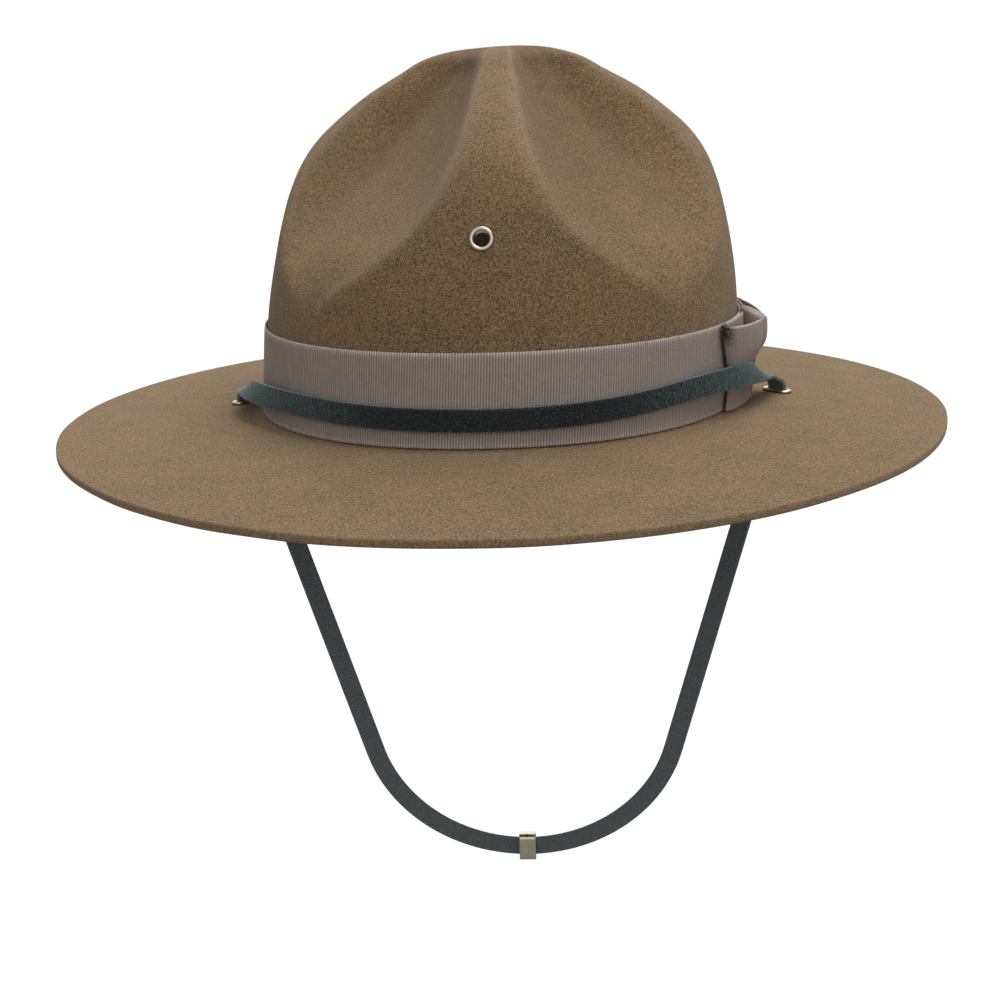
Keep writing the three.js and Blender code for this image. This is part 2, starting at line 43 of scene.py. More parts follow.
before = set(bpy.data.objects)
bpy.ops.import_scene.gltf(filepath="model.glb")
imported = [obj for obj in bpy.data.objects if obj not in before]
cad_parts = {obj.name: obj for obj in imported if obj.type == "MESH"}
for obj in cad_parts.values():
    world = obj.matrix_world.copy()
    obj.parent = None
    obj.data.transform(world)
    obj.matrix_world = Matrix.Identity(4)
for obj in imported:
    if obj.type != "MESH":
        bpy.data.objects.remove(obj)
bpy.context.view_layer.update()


# Arrays and shapes


def unit(vectors: Array) -> Array:
    """Returns the vectors of the last axis at length 1."""
    return vectors / np.maximum(np.linalg.norm(vectors, axis=-1, keepdims=True), 1e-12)


def smooth_step(low: float, high: float, value: Array) -> Array:
    """Returns 0 below low and 1 above high, with an S curve 3t^2 - 2t^3 between them."""
    t = np.clip((np.asarray(value, float) - low) / (high - low), 0.0, 1.0)
    return t * t * (3.0 - 2.0 * t)


def table(columns: tuple[str, ...], rows: list[tuple[float, ...]]) -> dict[str, Array]:
    """Returns a table of rows as one array for each named column."""
    values = np.array(rows, float)
    return {name: values[:, i] for i, name in enumerate(columns)}


def from_rows(column: Array, place: Array) -> Array:
    """Reads a column smoothly between its rows, as a Catmull-Rom curve.

    Args:
        column: the values, one a row.
        place: where to read, from 0 at the first row to the number of rows less 1.

    Returns:
        The values, in the shape of place.
    """
    last = len(column) - 1
    place = np.asarray(place, float)
    i = np.clip(np.floor(place).astype(int), 0, last - 1)
    t = place - i
    a, b, c, d = (column[np.clip(i + k, 0, last)] for k in (-1, 0, 1, 2))
    return b + 0.5 * t * (c - a + t * (2 * a - 5 * b + 4 * c - d + t * (3 * (b - c) + d - a)))


def oval(angle: Array, half_width: float, half_length: float, squareness: float) -> Array:
    """Points of an oval: (w cos, l sin) times (|cos|^n + |sin|^n)^(-1/n), where n squares it off.

    Args:
        angle: angles round the oval.
        half_width: half axis along X.
        half_length: half axis along Y.
        squareness: the exponent n, 2 for an ellipse.

    Returns:
        The points, with X and Y on the last axis.
    """
    c, s = np.cos(angle), np.sin(angle)
    k = (np.abs(c) ** squareness + np.abs(s) ** squareness) ** (-1.0 / squareness)
    return np.stack([half_width * c * k, half_length * s * k], -1)


def waves(points: Array, length: float, seed: int) -> Array:
    """Soft unevenness: the mean of nine sine waves of about one length in seeded random directions.

    Args:
        points: where to read it, X, Y and Z on the last axis.
        length: wavelength in metres.
        seed: seed of the directions and phases.

    Returns:
        Values of about -1 to 1.
    """
    count = 9
    rng = np.random.default_rng(seed)
    ways = unit(rng.normal(size=(count, 3))) * (2 * math.pi / length) * rng.uniform(0.6, 1.7, (count, 1))
    phases = rng.uniform(0, 2 * math.pi, count)
    return np.sin(points @ ways.T + phases).mean(-1) * math.sqrt(count) * 0.7


def arc_lengths(points: Array, closed: bool = False) -> Array:
    """Returns the run of a line at each of its points, with the whole length added where it is closed."""
    line = np.concatenate([points, points[:1]]) if closed else points
    steps = np.linalg.norm(np.diff(line, axis=0), axis=-1)
    return np.concatenate([[0.0], np.cumsum(steps)])


def direction(azimuth: float, elevation: float) -> Array:
    """Returns the way to a place at an angle round the hat, from the front towards +X, and a height."""
    level = math.cos(elevation)
    return np.array([math.sin(azimuth) * level, -math.cos(azimuth) * level, math.sin(elevation)])


def add_object(name: str, data: Any) -> bpy.types.Object:
    """Makes an object from its data and links it to the scene."""
    made = bpy.data.objects.new(name, data)
    bpy.context.scene.collection.objects.link(made)
    return made


@dataclass
class GridSurface:
    """A surface on a grid of points whose columns close into rings.

    Attributes:
        points: the grid, rows by columns by 3.
        u: length along the columns for the UV map, one more than the columns, in metres.
        v: length along the rows for the UV map, one more than the rows where the rows close too.
        closed_rows: whether the last row joins the first one.
        flat_ends: whether both ends close on a point in their middle.
        marks: values for each point by attribute name, for materials.
    """

    points: Array
    u: Array
    v: Array
    closed_rows: bool = False
    flat_ends: bool = False
    marks: dict[str, Array] = field(default_factory=dict)

    def quads(self) -> tuple[Array, Array]:
        """Faces between rows i and i+1 and columns j and j+1, and the UV of their corners.

        Returns:
            Vertex numbers, four a face, and UV, four corners a face.
        """
        rows, columns = self.points.shape[:2]
        count = rows if self.closed_rows else rows - 1
        i, j = np.meshgrid(np.arange(count), np.arange(columns), indexing="ij")
        corners = [(i, j), (i, j + 1), (i + 1, j + 1), (i + 1, j)]
        faces = np.stack([(a % rows) * columns + b % columns for a, b in corners], -1)
        uv = np.stack([np.stack([self.u[b], self.v[a]], -1) for a, b in corners], -2)
        return faces.reshape(-1, 4), uv.reshape(-1, 4, 2)

    def object(self, name: str, material: bpy.types.Material) -> bpy.types.Object:
        """Makes the Blender object, with faces that point outwards and smooth shading.

        Args:
            name: the name of the piece.
            material: its material.

        Returns:
            The new object, linked to the scene.
        """
        rows, columns = self.points.shape[:2]
        vertices = self.points.reshape(-1, 3)
        faces, uv = self.quads()
        tris = np.zeros((0, 3), int)
        tri_uv = np.zeros((0, 3, 2))
        if self.flat_ends:
            j = np.arange(columns)
            first, last = rows * columns, rows * columns + 1
            ends = self.points[[0, -1]].mean(1)
            vertices = np.concatenate([vertices, ends])
            k = (j + 1) % columns
            start = np.stack([k, j, np.full(columns, first)], -1)
            low = (rows - 1) * columns
            end = np.stack([low + j, low + k, np.full(columns, last)], -1)
            tris = np.concatenate([start, end])
            edge = np.stack([self.u[j], np.full(columns, self.v[0])], -1)
            tri_uv = np.repeat(np.concatenate([edge, edge])[:, None], 3, 1)
        corners = vertices[faces]
        volume = _signed_volume(corners[:, [0, 1, 2]]) + _signed_volume(corners[:, [0, 2, 3]])
        volume += _signed_volume(vertices[tris])
        if volume < 0:
            faces, uv = faces[:, ::-1], uv[:, ::-1]
            tris, tri_uv = tris[:, ::-1], tri_uv[:, ::-1]
        mesh = bpy.data.meshes.new(name)
        mesh.from_pydata(vertices, [], faces.tolist() + tris.tolist())
        layer = mesh.uv_layers.new(name="cloth")
        flat_uv = np.concatenate([uv.reshape(-1, 2), tri_uv.reshape(-1, 2)])
        layer.data.foreach_set("uv", flat_uv.astype(np.float32).ravel())
        for mark, values in self.marks.items():
            attribute = mesh.attributes.new(mark, "FLOAT", "POINT")
            flat = np.broadcast_to(values, (rows, columns)).reshape(-1)
            if self.flat_ends:
                flat = np.concatenate([flat, flat[:1], flat[-1:]])
            attribute.data.foreach_set("value", flat.astype(np.float32))
        mesh.polygons.foreach_set("use_smooth", np.ones(len(mesh.polygons), bool))
        mesh.materials.append(material)
        mesh.update()
        return add_object(name, mesh)


def _signed_volume(triangles: Array) -> float:
    """Returns the signed volume under triangles, six times, from their corners."""
    a, b, c = triangles[:, 0], triangles[:, 1], triangles[:, 2]
    return float((a * np.cross(b, c)).sum())


def sweep(run: Array, faces: Array, section: Array) -> Array:
    """Carries a flat section along a closed run.

    At each point the section's Y looks the way of the face, made square to the run, and its X is
    across: the run's direction cross the face.

    Args:
        run: points of the closed run.
        faces: the way that the section's Y looks, at each point.
        section: outline of the section, X and Y on the last axis.

    Returns:
        Points, run by section by 3.
    """
    along = unit(np.roll(run, -1, 0) - np.roll(run, 1, 0))
    out = unit(faces - along * (faces * along).sum(-1, keepdims=True))
    across = np.cross(along, out)
    return run[:, None] + across[:, None] * section[:, :1] + out[:, None] * section[:, 1:]


def rounded_bar(width: float, height: float, radius: float, corner: int, across: int) -> Array:
    """Outline of a rectangle with round corners: quarter circles joined by straight, evenly cut sides.

    Args:
        width: size along X.
        height: size along Y.
        radius: radius of the corners.
        corner: steps in each corner.
        across: steps along each side of the width.

    Returns:
        Points anticlockwise from the right end of the top side.
    """
    turns = np.linspace(0, math.pi / 2, corner + 1)
    x, y = width / 2 - radius, height / 2 - radius
    parts = []
    for k, (cx, cy) in enumerate([(-x, y), (-x, -y), (x, -y), (x, y)]):
        start = math.pi / 2 * (k + 1)
        arc = np.stack([cx + radius * np.cos(start + turns), cy + radius * np.sin(start + turns)], -1)
        parts.append(arc)
    top = np.stack([np.linspace(x, -x, across + 1)[1:-1], np.full(across - 1, y + radius)], -1)
    low = np.stack([np.linspace(-x, x, across + 1)[1:-1], np.full(across - 1, -y - radius)], -1)
    return np.concatenate([top, parts[0], parts[1], low, parts[2], parts[3]])


# Materials


class Graph:
    """A node tree with short ways to add nodes and join them."""

    def __init__(self, tree: bpy.types.NodeTree) -> None:
        """Keeps the tree that the nodes go into."""
        self.tree = tree

    def node(self, kind: str, inputs: dict[Any, Any] | None = None, **settings: Any) -> bpy.types.Node:
        """Adds a node.

        Args:
            kind: the node's type.
            inputs: for a socket's name or number, a value or the output that feeds it.
            settings: properties of the node.

        Returns:
            The new node.
        """
        made = self.tree.nodes.new(kind)
        for name, value in settings.items():
            setattr(made, name, value)
        for key, value in (inputs or {}).items():
            if isinstance(value, bpy.types.NodeSocket):
                self.tree.links.new(value, made.inputs[key])
            else:
                made.inputs[key].default_value = value
        return made

    def math(self, operation: str, a: Any, b: Any = 0.0, c: Any = 0.0) -> bpy.types.NodeSocket:
        """Adds a Math node and returns its output."""
        return self.node("ShaderNodeMath", {0: a, 1: b, 2: c}, operation=operation).outputs[0]

    def mix(self, factor: Any, a: Any, b: Any, blend: str = "MIX") -> bpy.types.NodeSocket:
        """Adds a colour Mix node and returns its output."""
        inputs = {0: factor, 6: a, 7: b}
        return self.node("ShaderNodeMix", inputs, data_type="RGBA", blend_type=blend).outputs[2]

    def fit(self, value: Any, low: float, high: float, to_low: float, to_high: float) -> Any:
        """Adds a clamped Map Range node from low..high to another range and returns its output."""
        inputs = {"Value": value, "From Min": low, "From Max": high, "To Min": to_low, "To Max": to_high}
        return self.node("ShaderNodeMapRange", inputs).outputs["Result"]

    def mark(self, name: str) -> bpy.types.NodeSocket:
        """Adds an Attribute node and returns its value."""
        return self.node("ShaderNodeAttribute", attribute_name=name).outputs["Fac"]

    def place(self) -> bpy.types.NodeSocket:
        """Adds a Texture Coordinate node and returns the Object coordinates."""
        return self.node("ShaderNodeTexCoord").outputs["Object"]

    def noise(self, vector: Any, scale: Any, detail: float, rough: float) -> bpy.types.NodeSocket:
        """Adds a Noise Texture and returns its value."""
        inputs = {"Vector": vector, "Scale": scale, "Detail": detail, "Roughness": rough}
        return self.node("ShaderNodeTexNoise", inputs).outputs["Fac"]

    def feed(self, node: bpy.types.Node, outputs: dict[str, Any]) -> None:
        """Links outputs to a node's inputs by name."""
        for name, output in outputs.items():
            self.tree.links.new(output, node.inputs[name])


def new_group(
    name: str, inputs: list[tuple[str, str, Any]], outputs: list[tuple[str, str]]
) -> tuple[Graph, Any, bpy.types.Node]:
    """Starts a shader node group.

    Args:
        name: name of the group.
        inputs: name, kind and value of each input.
        outputs: name and kind of each output.

    Returns:
        Its graph, the outputs of its input node by name, and its output node.
    """
    tree = bpy.data.node_groups.new(name, "ShaderNodeTree")
    for label, kind, value in inputs:
        socket = tree.interface.new_socket(label, in_out="INPUT", socket_type="NodeSocket" + kind)
        if value is not None:
            socket.default_value = value
    for label, kind in outputs:
        tree.interface.new_socket(label, in_out="OUTPUT", socket_type="NodeSocket" + kind)
    graph = Graph(tree)
    return graph, graph.node("NodeGroupInput").outputs, graph.node("NodeGroupOutput")


class Effects:
    """Shader effects that several finishes share, each built once as a node group."""

    def __init__(self) -> None:
        """Builds the groups."""
        self.mottle = self._mottle()
        self.wear_and_light_group = self._wear_and_light()
        self.threads = self._threads()
        self.grain = self._grain()

    def _mottle(self) -> bpy.types.NodeTree:
        """Fibres of two shades: fine noise and broad patches added, then mixed from dark to pale."""
        graph, given, out = new_group(
            "fibre mottle",
            [("Vector", "Vector", None), ("Dark", "Color", (0, 0, 0, 1)), ("Pale", "Color", (1, 1, 1, 1)),
             ("Fine Scale", "Float", 1500.0), ("Patch Scale", "Float", 90.0), ("Contrast", "Float", 1.0)],
            [("Color", "Color"), ("Height", "Float"), ("Patch", "Float")],
        )
        fine = graph.noise(given["Vector"], given["Fine Scale"], 5.0, 0.72)
        coarse = graph.math("MULTIPLY", given["Fine Scale"], 0.42)
        clump = graph.noise(given["Vector"], coarse, 3.0, 0.6)
        patch = graph.noise(given["Vector"], given["Patch Scale"], 4.0, 0.6)
        both = graph.math("ADD", graph.math("MULTIPLY", fine, 0.88), graph.math("MULTIPLY", clump, 0.12))
        swing = graph.math("MULTIPLY", graph.math("SUBTRACT", both, 0.5), 8.0)
        broad = graph.math("MULTIPLY", graph.math("SUBTRACT", patch, 0.5), 0.5)
        total = graph.math("MULTIPLY", graph.math("ADD", swing, broad), given["Contrast"])
        factor = graph.node("ShaderNodeMath", {0: total, 1: 0.5}, operation="ADD", use_clamp=True)
        colour = graph.mix(factor.outputs[0], given["Dark"], given["Pale"])
        graph.feed(out, {"Color": colour, "Height": both, "Patch": patch})
        return graph.tree

    def _wear_and_light(self) -> bpy.types.NodeTree:
        """Wear and painted light: a mask broken up by noise mixes the colour towards another one."""
        graph, given, out = new_group(
            "wear and painted light",
            [("Vector", "Vector", None), ("Color", "Color", (0.5, 0.5, 0.5, 1)),
             ("Wear And Light", "Color", (1, 1, 1, 1)), ("Mask", "Float", 0.0), ("Amount", "Float", 0.5),
             ("Scale", "Float", 400.0)],
            [("Color", "Color")],
        )
        broken = graph.fit(graph.noise(given["Vector"], given["Scale"], 4.0, 0.6), 0.3, 0.7, 0.25, 1.0)
        mask = graph.math("MULTIPLY", graph.math("MULTIPLY", given["Mask"], broken), given["Amount"])
        graph.feed(out, {"Color": graph.mix(mask, given["Color"], given["Wear And Light"])})
        return graph.tree

    def _threads(self) -> bpy.types.NodeTree:
        """Threads that run along the ribbon: fine bands across V, waved a little by noise along U."""
        graph, given, out = new_group(
            "ribbon threads",
            [("UV", "Vector", None), ("Pitch", "Float", 0.0003), ("Rib", "Float", 0.5)],
            [("Height", "Float"), ("Shade", "Float")],
        )
        split = graph.node("ShaderNodeSeparateXYZ", {0: given["UV"]})
        wander = graph.noise(given["UV"], 900.0, 2.0, 0.5)
        turns = graph.math("DIVIDE", split.outputs["Y"], given["Pitch"])
        phase = graph.math("MULTIPLY", graph.math("ADD", turns, wander), 2 * math.pi)
        thread = graph.math("MULTIPLY_ADD", graph.math("SINE", phase), 0.5, 0.5)
        height = graph.math("MULTIPLY", thread, graph.math("MULTIPLY_ADD", given["Rib"], 0.7, 0.3))
        uneven = graph.noise(given["UV"], 240.0, 3.0, 0.6)
        shade = graph.math("ADD", graph.math("MULTIPLY", height, 0.5), graph.math("MULTIPLY", uneven, 0.5))
        graph.feed(out, {"Height": height, "Shade": shade})
        return graph.tree

    def _grain(self) -> bpy.types.NodeTree:
        """Leather grain: cells of a stretched Voronoi pattern, whose edges are the creases."""
        graph, given, out = new_group(
            "leather grain",
            [("Vector", "Vector", None), ("Scale", "Float", 1200.0)],
            [("Height", "Float"), ("Crease", "Float")],
        )
        bent = graph.node("ShaderNodeTexNoise", {"Vector": given["Vector"], "Scale": 500.0, "Detail": 2.0})
        shift = {0: bent.outputs["Color"], "Scale": 0.0012}
        offset = graph.node("ShaderNodeVectorMath", shift, operation="SCALE").outputs[0]
        moved = graph.node("ShaderNodeVectorMath", {0: given["Vector"], 1: offset}, operation="ADD")
        spots = {"Vector": moved.outputs[0], "Scale": given["Scale"]}
        cells = graph.node("ShaderNodeTexVoronoi", spots, feature="DISTANCE_TO_EDGE")
        dome = graph.fit(cells.outputs["Distance"], 0.0, 0.22, 0.0, 1.0)
        pores = graph.noise(given["Vector"], 5200.0, 2.0, 0.5)
        height = graph.math("ADD", graph.math("MULTIPLY", dome, 0.8), graph.math("MULTIPLY", pores, 0.35))
        graph.feed(out, {"Height": height, "Crease": graph.math("SUBTRACT", 1.0, dome)})
        return graph.tree

    def wear_and_light_tint(self, graph: Graph, colour: Any, wear_and_light_tint: Colour, mask: Any, amount: float, scale: float) -> Any:
        """Places the group for wear and painted light in a material.

        Args:
            graph: the material's graph.
            colour: the colour so far.
            wear_and_light_tint: the colour that it mixes in, a worn colour, a painted shade or a painted
                highlight.
            mask: where that colour is mixed in.
            amount: how much of that colour shows there.
            scale: scale of the noise that breaks it up.

        Returns:
            The new colour.
        """
        inputs = {"Vector": graph.place(), "Color": colour, "Wear And Light": wear_and_light_tint, "Mask": mask, "Amount": amount,
                  "Scale": scale}
        return use_group(graph, self.wear_and_light_group, inputs)["Color"]


def use_group(graph: Graph, tree: bpy.types.NodeTree, inputs: dict[str, Any]) -> Any:
    """Places a group in a material and returns its outputs."""
    return graph.node("ShaderNodeGroup", inputs, node_tree=tree).outputs


def start_material(name: str, fixed: dict[str, Any]) -> tuple[bpy.types.Material, Graph, Any]:
    """Starts a material with a Principled BSDF.

    Args:
        name: name of the material.
        fixed: values of the shader's sockets that are the same all over.

    Returns:
        The material, its graph and the shader.
    """
    made = bpy.data.materials.new(name)
    made.use_nodes = True
    made.node_tree.nodes.clear()
    graph = Graph(made.node_tree)
    shader = graph.node("ShaderNodeBsdfPrincipled", fixed)
    graph.node("ShaderNodeOutputMaterial", {"Surface": shader.outputs["BSDF"]})
    return made, graph, shader


def add_bumps(graph: Graph, shader: Any, layers: list[tuple[Any, float, float]]) -> None:
    """Chains Bump nodes into the shader's normal.

    Args:
        graph: the material's graph.
        shader: the shader that takes the normal.
        layers: height, strength and distance in metres of each bump, from the broadest.
    """
    normal = None
    for height, strength, distance in layers:
        inputs = {"Height": height, "Strength": strength, "Distance": distance}
        if normal is not None:
            inputs["Normal"] = normal
        normal = graph.node("ShaderNodeBump", inputs).outputs["Normal"]
    graph.tree.links.new(normal, shader.inputs["Normal"])


@dataclass(frozen=True)
class FeltFinish:
    """Pressed wool felt: mottled nap, paler where cut or rubbed, painted highlight at dent rims, painted
    shade in dents.
    """

    dark: Colour = (0.098, 0.060, 0.027, 1)
    pale: Colour = (0.352, 0.234, 0.127, 1)
    rubbed_and_highlight: Colour = (0.370, 0.270, 0.180, 1)
    painted_dent_shade: Colour = (0.105, 0.066, 0.034, 1)
    warm: Colour = (1.03, 0.99, 0.96, 1)
    cool: Colour = (0.98, 1.0, 1.0, 1)
    cut: Colour = (0.340, 0.235, 0.140, 1)

    def material(self, effects: Effects) -> bpy.types.Material:
        """Returns the material."""
        made, graph, shader = start_material(
            "felt",
            {"Sheen Weight": 0.25, "Sheen Roughness": 0.45, "Sheen Tint": (0.85, 0.72, 0.55, 1),
             "Specular IOR Level": 0.25},
        )
        inputs = {"Vector": graph.place(), "Dark": self.dark, "Pale": self.pale, "Fine Scale": 2100.0,
                  "Patch Scale": 62.0}
        felt = use_group(graph, effects.mottle, inputs)
        cast = graph.mix(graph.fit(felt["Patch"], 0.35, 0.65, 0.0, 1.0), self.cool, self.warm)
        colour = graph.mix(1.0, felt["Color"], cast, "MULTIPLY")
        # Painted shade down in the dents.
        colour = effects.wear_and_light_tint(graph, colour, self.painted_dent_shade, graph.mark("dent_shade_mask"), 0.5, 120.0)
        # Rubbed nap and a painted highlight at the rims of the dents.
        colour = effects.wear_and_light_tint(graph, colour, self.rubbed_and_highlight, graph.mark("ridge"), 0.8, 260.0)
        colour = effects.wear_and_light_tint(graph, colour, self.cut, graph.mark("cut"), 0.5, 700.0)
        rough = graph.fit(felt["Height"], 0.3, 0.7, 0.98, 0.82)
        graph.feed(shader, {"Base Color": colour, "Roughness": rough})
        add_bumps(graph, shader, [(felt["Patch"], 0.35, 0.0012), (felt["Height"], 0.75, 0.0007)])
        return made


@dataclass(frozen=True)
class RibbonFinish:
    """Ribbed ribbon: pale thread over the ribs, darker grooves, a light and dark woven edge, and painted
    shade at the bow's fold.
    """

    groove: Colour = (0.130, 0.110, 0.097, 1)
    rib: Colour = (0.510, 0.430, 0.390, 1)
    edge: Colour = (0.800, 0.720, 0.650, 1)
    painted_fold_shade: Colour = (0.035, 0.028, 0.024, 1)

    def material(self, effects: Effects) -> bpy.types.Material:
        """Returns the material."""
        made, graph, shader = start_material(
            "ribbon",
            {"Sheen Weight": 0.2, "Sheen Roughness": 0.35, "Sheen Tint": (0.9, 0.82, 0.8, 1),
             "Specular IOR Level": 0.35},
        )
        uv = graph.node("ShaderNodeUVMap", uv_map="cloth").outputs["UV"]
        rib = graph.mark("rib")
        threads = use_group(graph, effects.threads, {"UV": uv, "Pitch": 0.00034, "Rib": rib})
        inputs = {"Vector": graph.place(), "Dark": (0.86, 0.86, 0.86, 1), "Pale": (1.1, 1.1, 1.1, 1),
                  "Fine Scale": 2600.0, "Patch Scale": 45.0, "Contrast": 0.7}
        cloth = use_group(graph, effects.mottle, inputs)
        thread = graph.math("MULTIPLY", threads["Shade"], 0.45)
        tone = graph.math("ADD", graph.math("MULTIPLY", rib, 0.62), thread)
        ribbed = graph.mix(tone, self.groove, self.rib)
        colour = graph.mix(1.0, ribbed, cloth["Color"], "MULTIPLY")
        edge = graph.math("MULTIPLY", graph.mark("selvedge"), rib)
        colour = effects.wear_and_light_tint(graph, colour, self.edge, edge, 0.9, 500.0)
        # Painted shade at the bow's gathered corner and under its fold.
        colour = effects.wear_and_light_tint(graph, colour, self.painted_fold_shade, graph.mark("painted_fold_shade"), 2.0, 1100.0)
        rough = graph.fit(threads["Shade"], 0.2, 0.8, 0.78, 0.58)
        graph.feed(shader, {"Base Color": colour, "Roughness": rough})
        add_bumps(graph, shader, [(cloth["Patch"], 0.2, 0.001), (threads["Height"], 0.5, 0.00012)])
        return made


@dataclass(frozen=True)
class LeatherFinish:
    """Black grained leather with a cool sheen, a pale cut edge and a rough grey back."""

    black: Colour = (0.0075, 0.013, 0.0165, 1)
    crease: Colour = (0.0035, 0.005, 0.006, 1)
    rubbed_and_highlight: Colour = (0.060, 0.085, 0.098, 1)
    cut: Colour = (0.230, 0.225, 0.200, 1)
    back: Colour = (0.170, 0.182, 0.190, 1)

    def material(self, effects: Effects) -> bpy.types.Material:
        """Returns the material."""
        made, graph, shader = start_material(
            "strap leather",
            {"Sheen Weight": 0.36, "Sheen Roughness": 0.3, "Sheen Tint": (0.55, 0.86, 0.92, 1),
             "Specular IOR Level": 0.4, "Coat Roughness": 0.35, "Specular Tint": (0.7, 0.95, 1.0, 1)},
        )
        uv = graph.node("ShaderNodeUVMap", uv_map="cloth").outputs["UV"]
        turned = {"Vector": uv, "Rotation": (0.0, 0.0, 0.5), "Scale": (0.55, 1.0, 1.0)}
        slant = graph.node("ShaderNodeMapping", turned).outputs[0]
        grain = use_group(graph, effects.grain, {"Vector": slant, "Scale": 1150.0})
        outer = graph.mark("outer")
        face = graph.mix(graph.fit(grain["Crease"], 0.2, 1.0, 0.0, 1.0), self.black, self.crease)
        colour = graph.mix(outer, self.back, face)
        # The rim of the strap's face is paler where it is rubbed.
        colour = effects.wear_and_light_tint(graph, colour, self.rubbed_and_highlight, graph.mark("rim"), 0.35, 600.0)
        colour = effects.wear_and_light_tint(graph, colour, self.cut, graph.mark("cut"), 0.95, 900.0)
        creased = graph.fit(grain["Crease"], 0.0, 1.0, 0.0, 0.14)
        rough = graph.math("ADD", creased, graph.fit(outer, 0, 1, 0.75, 0.42))
        coat = graph.math("MULTIPLY", outer, 0.35)
        graph.feed(shader, {"Base Color": colour, "Roughness": rough, "Coat Weight": coat})
        add_bumps(graph, shader, [(grain["Height"], 0.95, 0.0007)])
        return made


@dataclass(frozen=True)
class NickelFinish:
    """Pale warm nickel: fine scratches, and tarnish in patches and towards its seat."""

    bright: Colour = (0.76, 0.70, 0.57, 1)
    tarnish: Colour = (0.30, 0.235, 0.140, 1)

    def material(self, effects: Effects) -> bpy.types.Material:
        """Returns the material."""
        made, graph, shader = start_material("eyelet nickel", {"Metallic": 1.0})
        place = graph.place()
        fine = {"Vector": place, "Dark": (0.85, 0.83, 0.8, 1), "Pale": (1, 1, 1, 1), "Fine Scale": 3200.0,
                "Patch Scale": 330.0, "Contrast": 0.8}
        film = use_group(graph, effects.mottle, fine)
        base = graph.mix(1.0, self.bright, film["Color"], "MULTIPLY")
        colour = effects.wear_and_light_tint(graph, base, self.tarnish, graph.mark("seat"), 0.8, 700.0)
        rough = graph.fit(film["Patch"], 0.3, 0.7, 0.24, 0.42)
        graph.feed(shader, {"Base Color": colour, "Roughness": rough})
        stretched = graph.node("ShaderNodeMapping", {"Vector": place, "Scale": (1.0, 1.0, 7.0)}).outputs[0]
        add_bumps(graph, shader, [(graph.noise(stretched, 2600.0, 2.0, 0.5), 0.12, 0.0001)])
        return made


# Form of the hat


